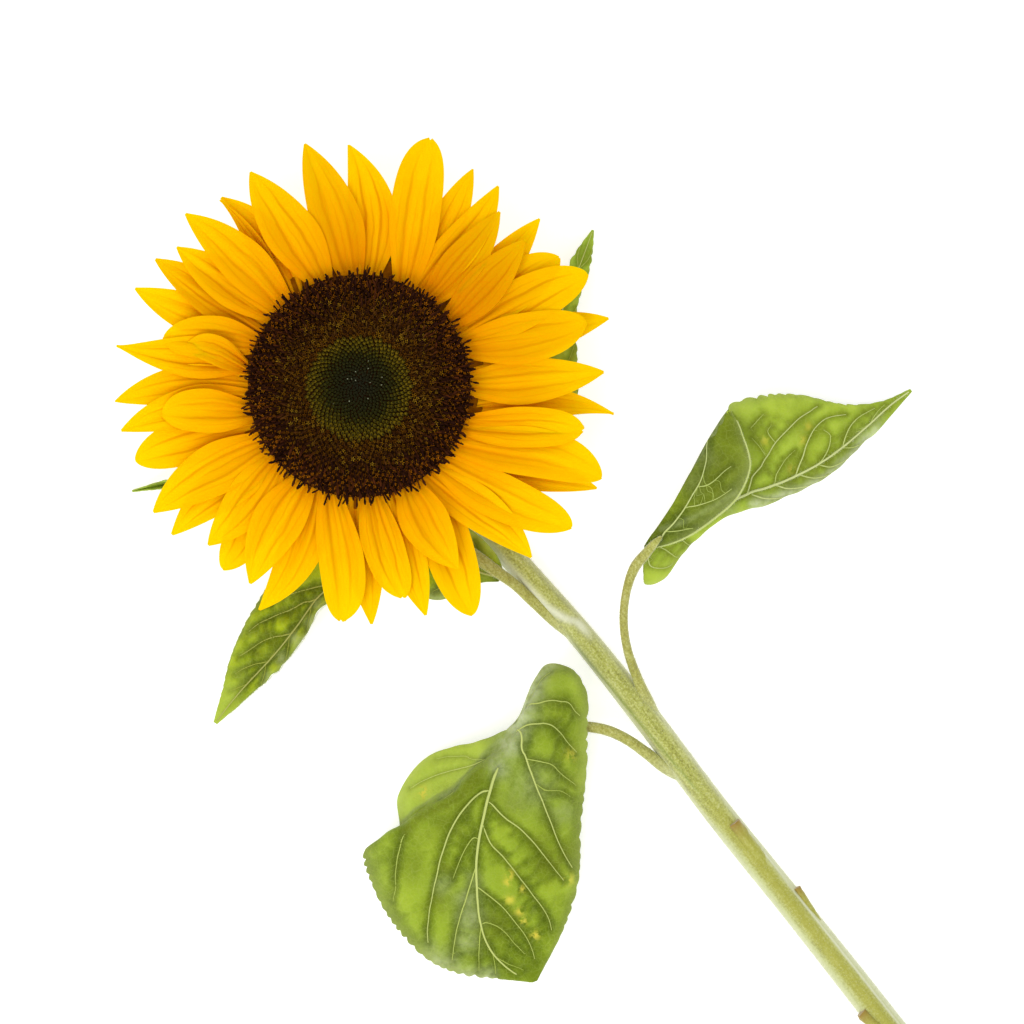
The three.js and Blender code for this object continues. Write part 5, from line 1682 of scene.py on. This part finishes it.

# %% [markdown]
# The stem is a little thicker than a pencil near its cut end and bends up under the head. Low ribs
# run along it, and a pale line of down runs up to the neck. A painted highlight runs along one side
# of its lower part. Its bare lower part has an olive band on top and pale mottled sides; the paleness
# of the sides is partly painted sheen, as down looks where it is seen edge on. Three stumps of cut
# leaves lie on it as long low ridges, brown at the end. The cut end of the stem shows a ring of green
# skin round white pith.

# %% Stem
STEM = [
    (1.5, -291, 4.65, 4.7), (2.4, -258, 5.4, 4.65), (2.7, -228, 5.8, 4.6), (3.0, -190, 5.9, 4.45),
    (3.0, -155, 5.7, 4.3), (4.2, -120, 5.3, 4.2), (4.4, -88, 4.8, 4.0), (3.3, -64, 4.3, 3.85),
    (1.5, -36, 3.9, 3.8), (0, -12, 3.55, 3.8), (0, 0, 3.55, 3.8), (0, 5.8, 4.5, 3.85),
    (0, 10.6, 7.4, 3.95), (0, 13.4, 11.6, 4.2), (0, HEAD_Y, 15.8, 4.7), (0, HEAD_Y, NECK_TOP + 0.8, 5.6),
]
STEM_LENGTH = 330
STEM_SIDES = 44
STEM_STEP = 1.5
STUMP_RINGS, STUMP_SIDES = 14, 16
STUMPS = [
    ((3.8, -178, 7.4), (5.0, -161, 9.9), 2.4, 1.8),
    ((5.0, -204, 6.6), (7.3, -188.6, 7.8), 1.9, 1.2),
    ((1.2, -246, 7.2), (-1.2, -230.5, 9.4), 2.4, 1.7),
]
stem_draws = draws(41)
stem_line = evenly(STEM, int(STEM_LENGTH / STEM_STEP))
stem_path, stem_radii = stem_line[:, :3], stem_line[:, 3]
stem_angle = around(STEM_SIDES)
stem_run = np.arange(len(stem_path))[:, None] * STEM_STEP
ribs = 1 + 0.022 * np.cos(9 * stem_angle + 0.012 * stem_run)
ribs = ribs + 0.012 * np.cos(5 * stem_angle - 0.02 * stem_run + 1.0)
ribs = ribs + 0.012 * np.sin(stem_run * 0.11 + 2 * stem_angle)
stem_x = stem_path[:, :1] + stem_radii[:, None] * np.cos(stem_angle)
stem_y = np.repeat(stem_path[:, 1:2], STEM_SIDES, axis=1)
stem_top = np.clip(-np.sin(stem_angle), 0, 1)


def stem_band(line, width):
    """1 along a line of (y, x) places on the stem's upper side, fading across it and at its ends."""
    y, x = np.array(line).T
    ends = np.clip((stem_y - y[0]) / 6, 0, 1) * np.clip((y[-1] - stem_y) / 6, 0, 1)
    return hump(stem_x - np.interp(stem_y, y, x), width) * ends * (stem_top > 0)


down_band = stem_band([
    (-92, 6.6), (-84, 6.2), (-80, 3.6), (-74, 1.4), (-64, 0.4), (-56, -0.3), (-50, -0.4), (-38, -0.8),
], 1.4)
groove_band = stem_band([(-150, 2.4), (-125, 1.7), (-106, 1.4), (-97, 1.1), (-84, 1.2)], 0.4)
# A painted highlight along one side of the lower stem.
painted_highlight_band = stem_band([(-262, 5.2), (-235, 5.6), (-205, 5.9), (-180, 6.2), (-164, 6.4)], 0.3)
# Pale along the line of down and, as painted sheen, on the sides, where the down is seen edge on.
stem_pale_and_sheen = np.maximum(0.8 * (1 - stem_top) ** 1.3, 0.85 * down_band)
stem_pale_and_sheen = np.maximum(stem_pale_and_sheen, 0.75 * painted_highlight_band)
bare_share = np.clip((-146 - stem_y) / 20, 0, 1)
stem_side = np.abs(np.cos(stem_angle) - 0.06) + 0 * stem_y
olive_band = bare_share * np.exp(-((stem_side / 0.56) ** 3)) * (stem_top > 0)
# Pale mottling on the sides, partly painted sheen of the down there.
side_mottle_and_sheen = bare_share * np.clip((stem_side - 0.25) / 0.5, 0, 1)
stem_shapes = [
    tube(
        stem_path, stem_radii, STEM_SIDES, 0, ribs,
        pale=stem_pale_and_sheen, groove=groove_band, olive=olive_band, mottle=side_mottle_and_sheen,
    ),
    tube_hairs(stem_path, stem_radii, HAIRS_A_SQUARE_MM, 0.8, FINE_HAIR, stem_draws, 1),
]
for foot, end, foot_radius, end_radius in STUMPS:
    share = np.linspace(0, 1, STUMP_RINGS)
    rough = 0.08 * stem_draws.normal(0, 1, (STUMP_RINGS, STUMP_SIDES))
    ragged = 1 + rough * np.linspace(0.2, 1, STUMP_RINGS)[:, None]
    stem_shapes.append(tube(
        np.linspace(foot, end, STUMP_RINGS), np.linspace(foot_radius, end_radius, STUMP_RINGS),
        STUMP_SIDES, 0, ragged, brown=share**5, olive=0.9,
    ))

PITH_RINGS, PITH_SIDES = 8, 40
pith_finish = Finish("pith_white", Roughness=0.85)
pith_grain = pith_finish.noise(pith_finish.place(), 1.6, 3)
pith_finish.coat(pith_finish.ramp(
    pith_finish.mark("ring") + (pith_grain - 0.5) * 0.12,
    (0.0, 226, 226, 200), (0.6, 214, 216, 178), (0.8, 176, 186, 112), (1.0, 140, 148, 66),
))
pith_finish.bump(pith_grain, 0.2, 0.6)
pith_share = np.linspace(0.02, 0.97, PITH_RINGS)[:, None, None]
pith_angle = np.linspace(0, 2 * math.pi, PITH_SIDES + 1)[:, None]
cut_across, cut_up, cut_along = (axis[0] for axis in ring_frames(stem_path))
pith_out = cut_across * np.cos(pith_angle) + cut_up * np.sin(pith_angle)
pith_front = stem_path[0] - cut_along * (0.12 - 0.1 * pith_share**4) + stem_radii[0] * pith_share * pith_out
pith_marks = {"ring": pith_share[..., 0]}
stem_shapes.append(shell(pith_front + cut_along * 0.6, pith_front, 2, pith_marks, pith_marks))
make_piece("stem_fine", stem_shapes, [stem_finish, hair_white, pith_finish], "stem", "stem")

# %% [markdown]
# Behind the rays lies the green cup that held the bud: the receptacle, a turned body, and two rows
# of pointed bracts with hairy margins. It shows from the side and from below, and through the gaps
# between the rays.

# %% Involucre
RECEPTACLE = [
    (0, NECK_TOP - 0.6), (5.0, NECK_TOP - 0.4), (6.2, 20.0), (8, 20.4), (10, 20.9), (15, 21.6),
    (20, 22.4), (25, 23.4), (29, 24.6), (32, 25.8), (34.5, 27.4), (36.2, 28.9), (37, RECEPTACLE_TOP),
    (36.6, 30.6), (34.4, 30.8), (30, 30.25), (0, 30.2),
]
BRACTS_A_ROW = 13
BractRow = namedtuple("BractRow", "root root_z reach width lift droop turn")
BRACT_ROWS = [BractRow(26, 24.2, 49, 14, 1.5, 4.0, 0.0), BractRow(29, 27.0, 53, 13, 2.4, 3.0, 0.5)]
BRACT_GRID = (25, 13)
BRACT_THICKNESS = 0.55
FRINGE_HAIRS = 150
BRACT_GREENS = ((112, 134, 30), (140, 162, 50), (164, 186, 70))
bract_finish = leaf_finish("bract_green", BRACT_GREENS, BRACT_GREENS)


def bract(row, number, chance):
    """One pointed bract and the fringe of its margins."""
    rows, columns = BRACT_GRID
    u, v = np.meshgrid(np.linspace(0, 1, rows), np.linspace(-1, 1, columns), indexing="ij")
    bearing = (number + row.turn) * 2 * math.pi / BRACTS_A_ROW + chance.normal(0, 0.02)
    outline = (0.72 + 0.28 * np.sin(math.pi / 2 * np.minimum(1, u / 0.45))) * (1 - u**1.7) ** 1.1
    side = v * np.maximum(row.width / 2 * outline, 0.1)
    angle = bearing + chance.normal(0, 0.05) * u * u
    radius = row.root + (row.reach + chance.normal(0, 0.7) - row.root) * u
    height = row.root_z + row.lift * u - row.droop * u * u + v * v * outline * np.minimum(1, 3 * u)
    height = height - 0.25 * hump(v, 0.12) + chance.normal(0, 0.5) * u**3
    x = radius * np.cos(angle) + side * np.sin(angle)
    y = HEAD_Y + radius * np.sin(angle) - side * np.cos(angle)
    grid = np.stack([x, y, height], axis=-1)
    front, back = ({"lift": 0.3, "edge": np.abs(v) ** 8, "underside": under} for under in (0.0, 1.0))
    body = shell(grid, grid - grid_normals(grid) * BRACT_THICKNESS, 0, front, back)
    rim = np.concatenate([grid[3:, 0], grid[3:, -1]])
    outward = np.concatenate([grid[3:, 0] - grid[3:, 1], grid[3:, -1] - grid[3:, -2]])
    spots = chance.integers(0, len(rim), FRINGE_HAIRS)
    heading = np.array([math.cos(angle[0, 0]), math.sin(angle[0, 0]), 0])
    roots = rim[spots] + chance.normal(0, 0.5, (FRINGE_HAIRS, 1)) * heading - [0, 0, BRACT_THICKNESS / 2]
    return [body, hairs(roots, unit(outward[spots]), 0.9, FINE_HAIR, chance, 1)]


bract_draws = draws(51)
involucre_shapes = [turned(RECEPTACLE, lift=0.3, underside=1.0)]
for row in BRACT_ROWS:
    for number in range(BRACTS_A_ROW):
        involucre_shapes += bract(row, number, bract_draws)
make_piece("involucre_fine", involucre_shapes, [bract_finish, hair_white], "bracts", "involucre")
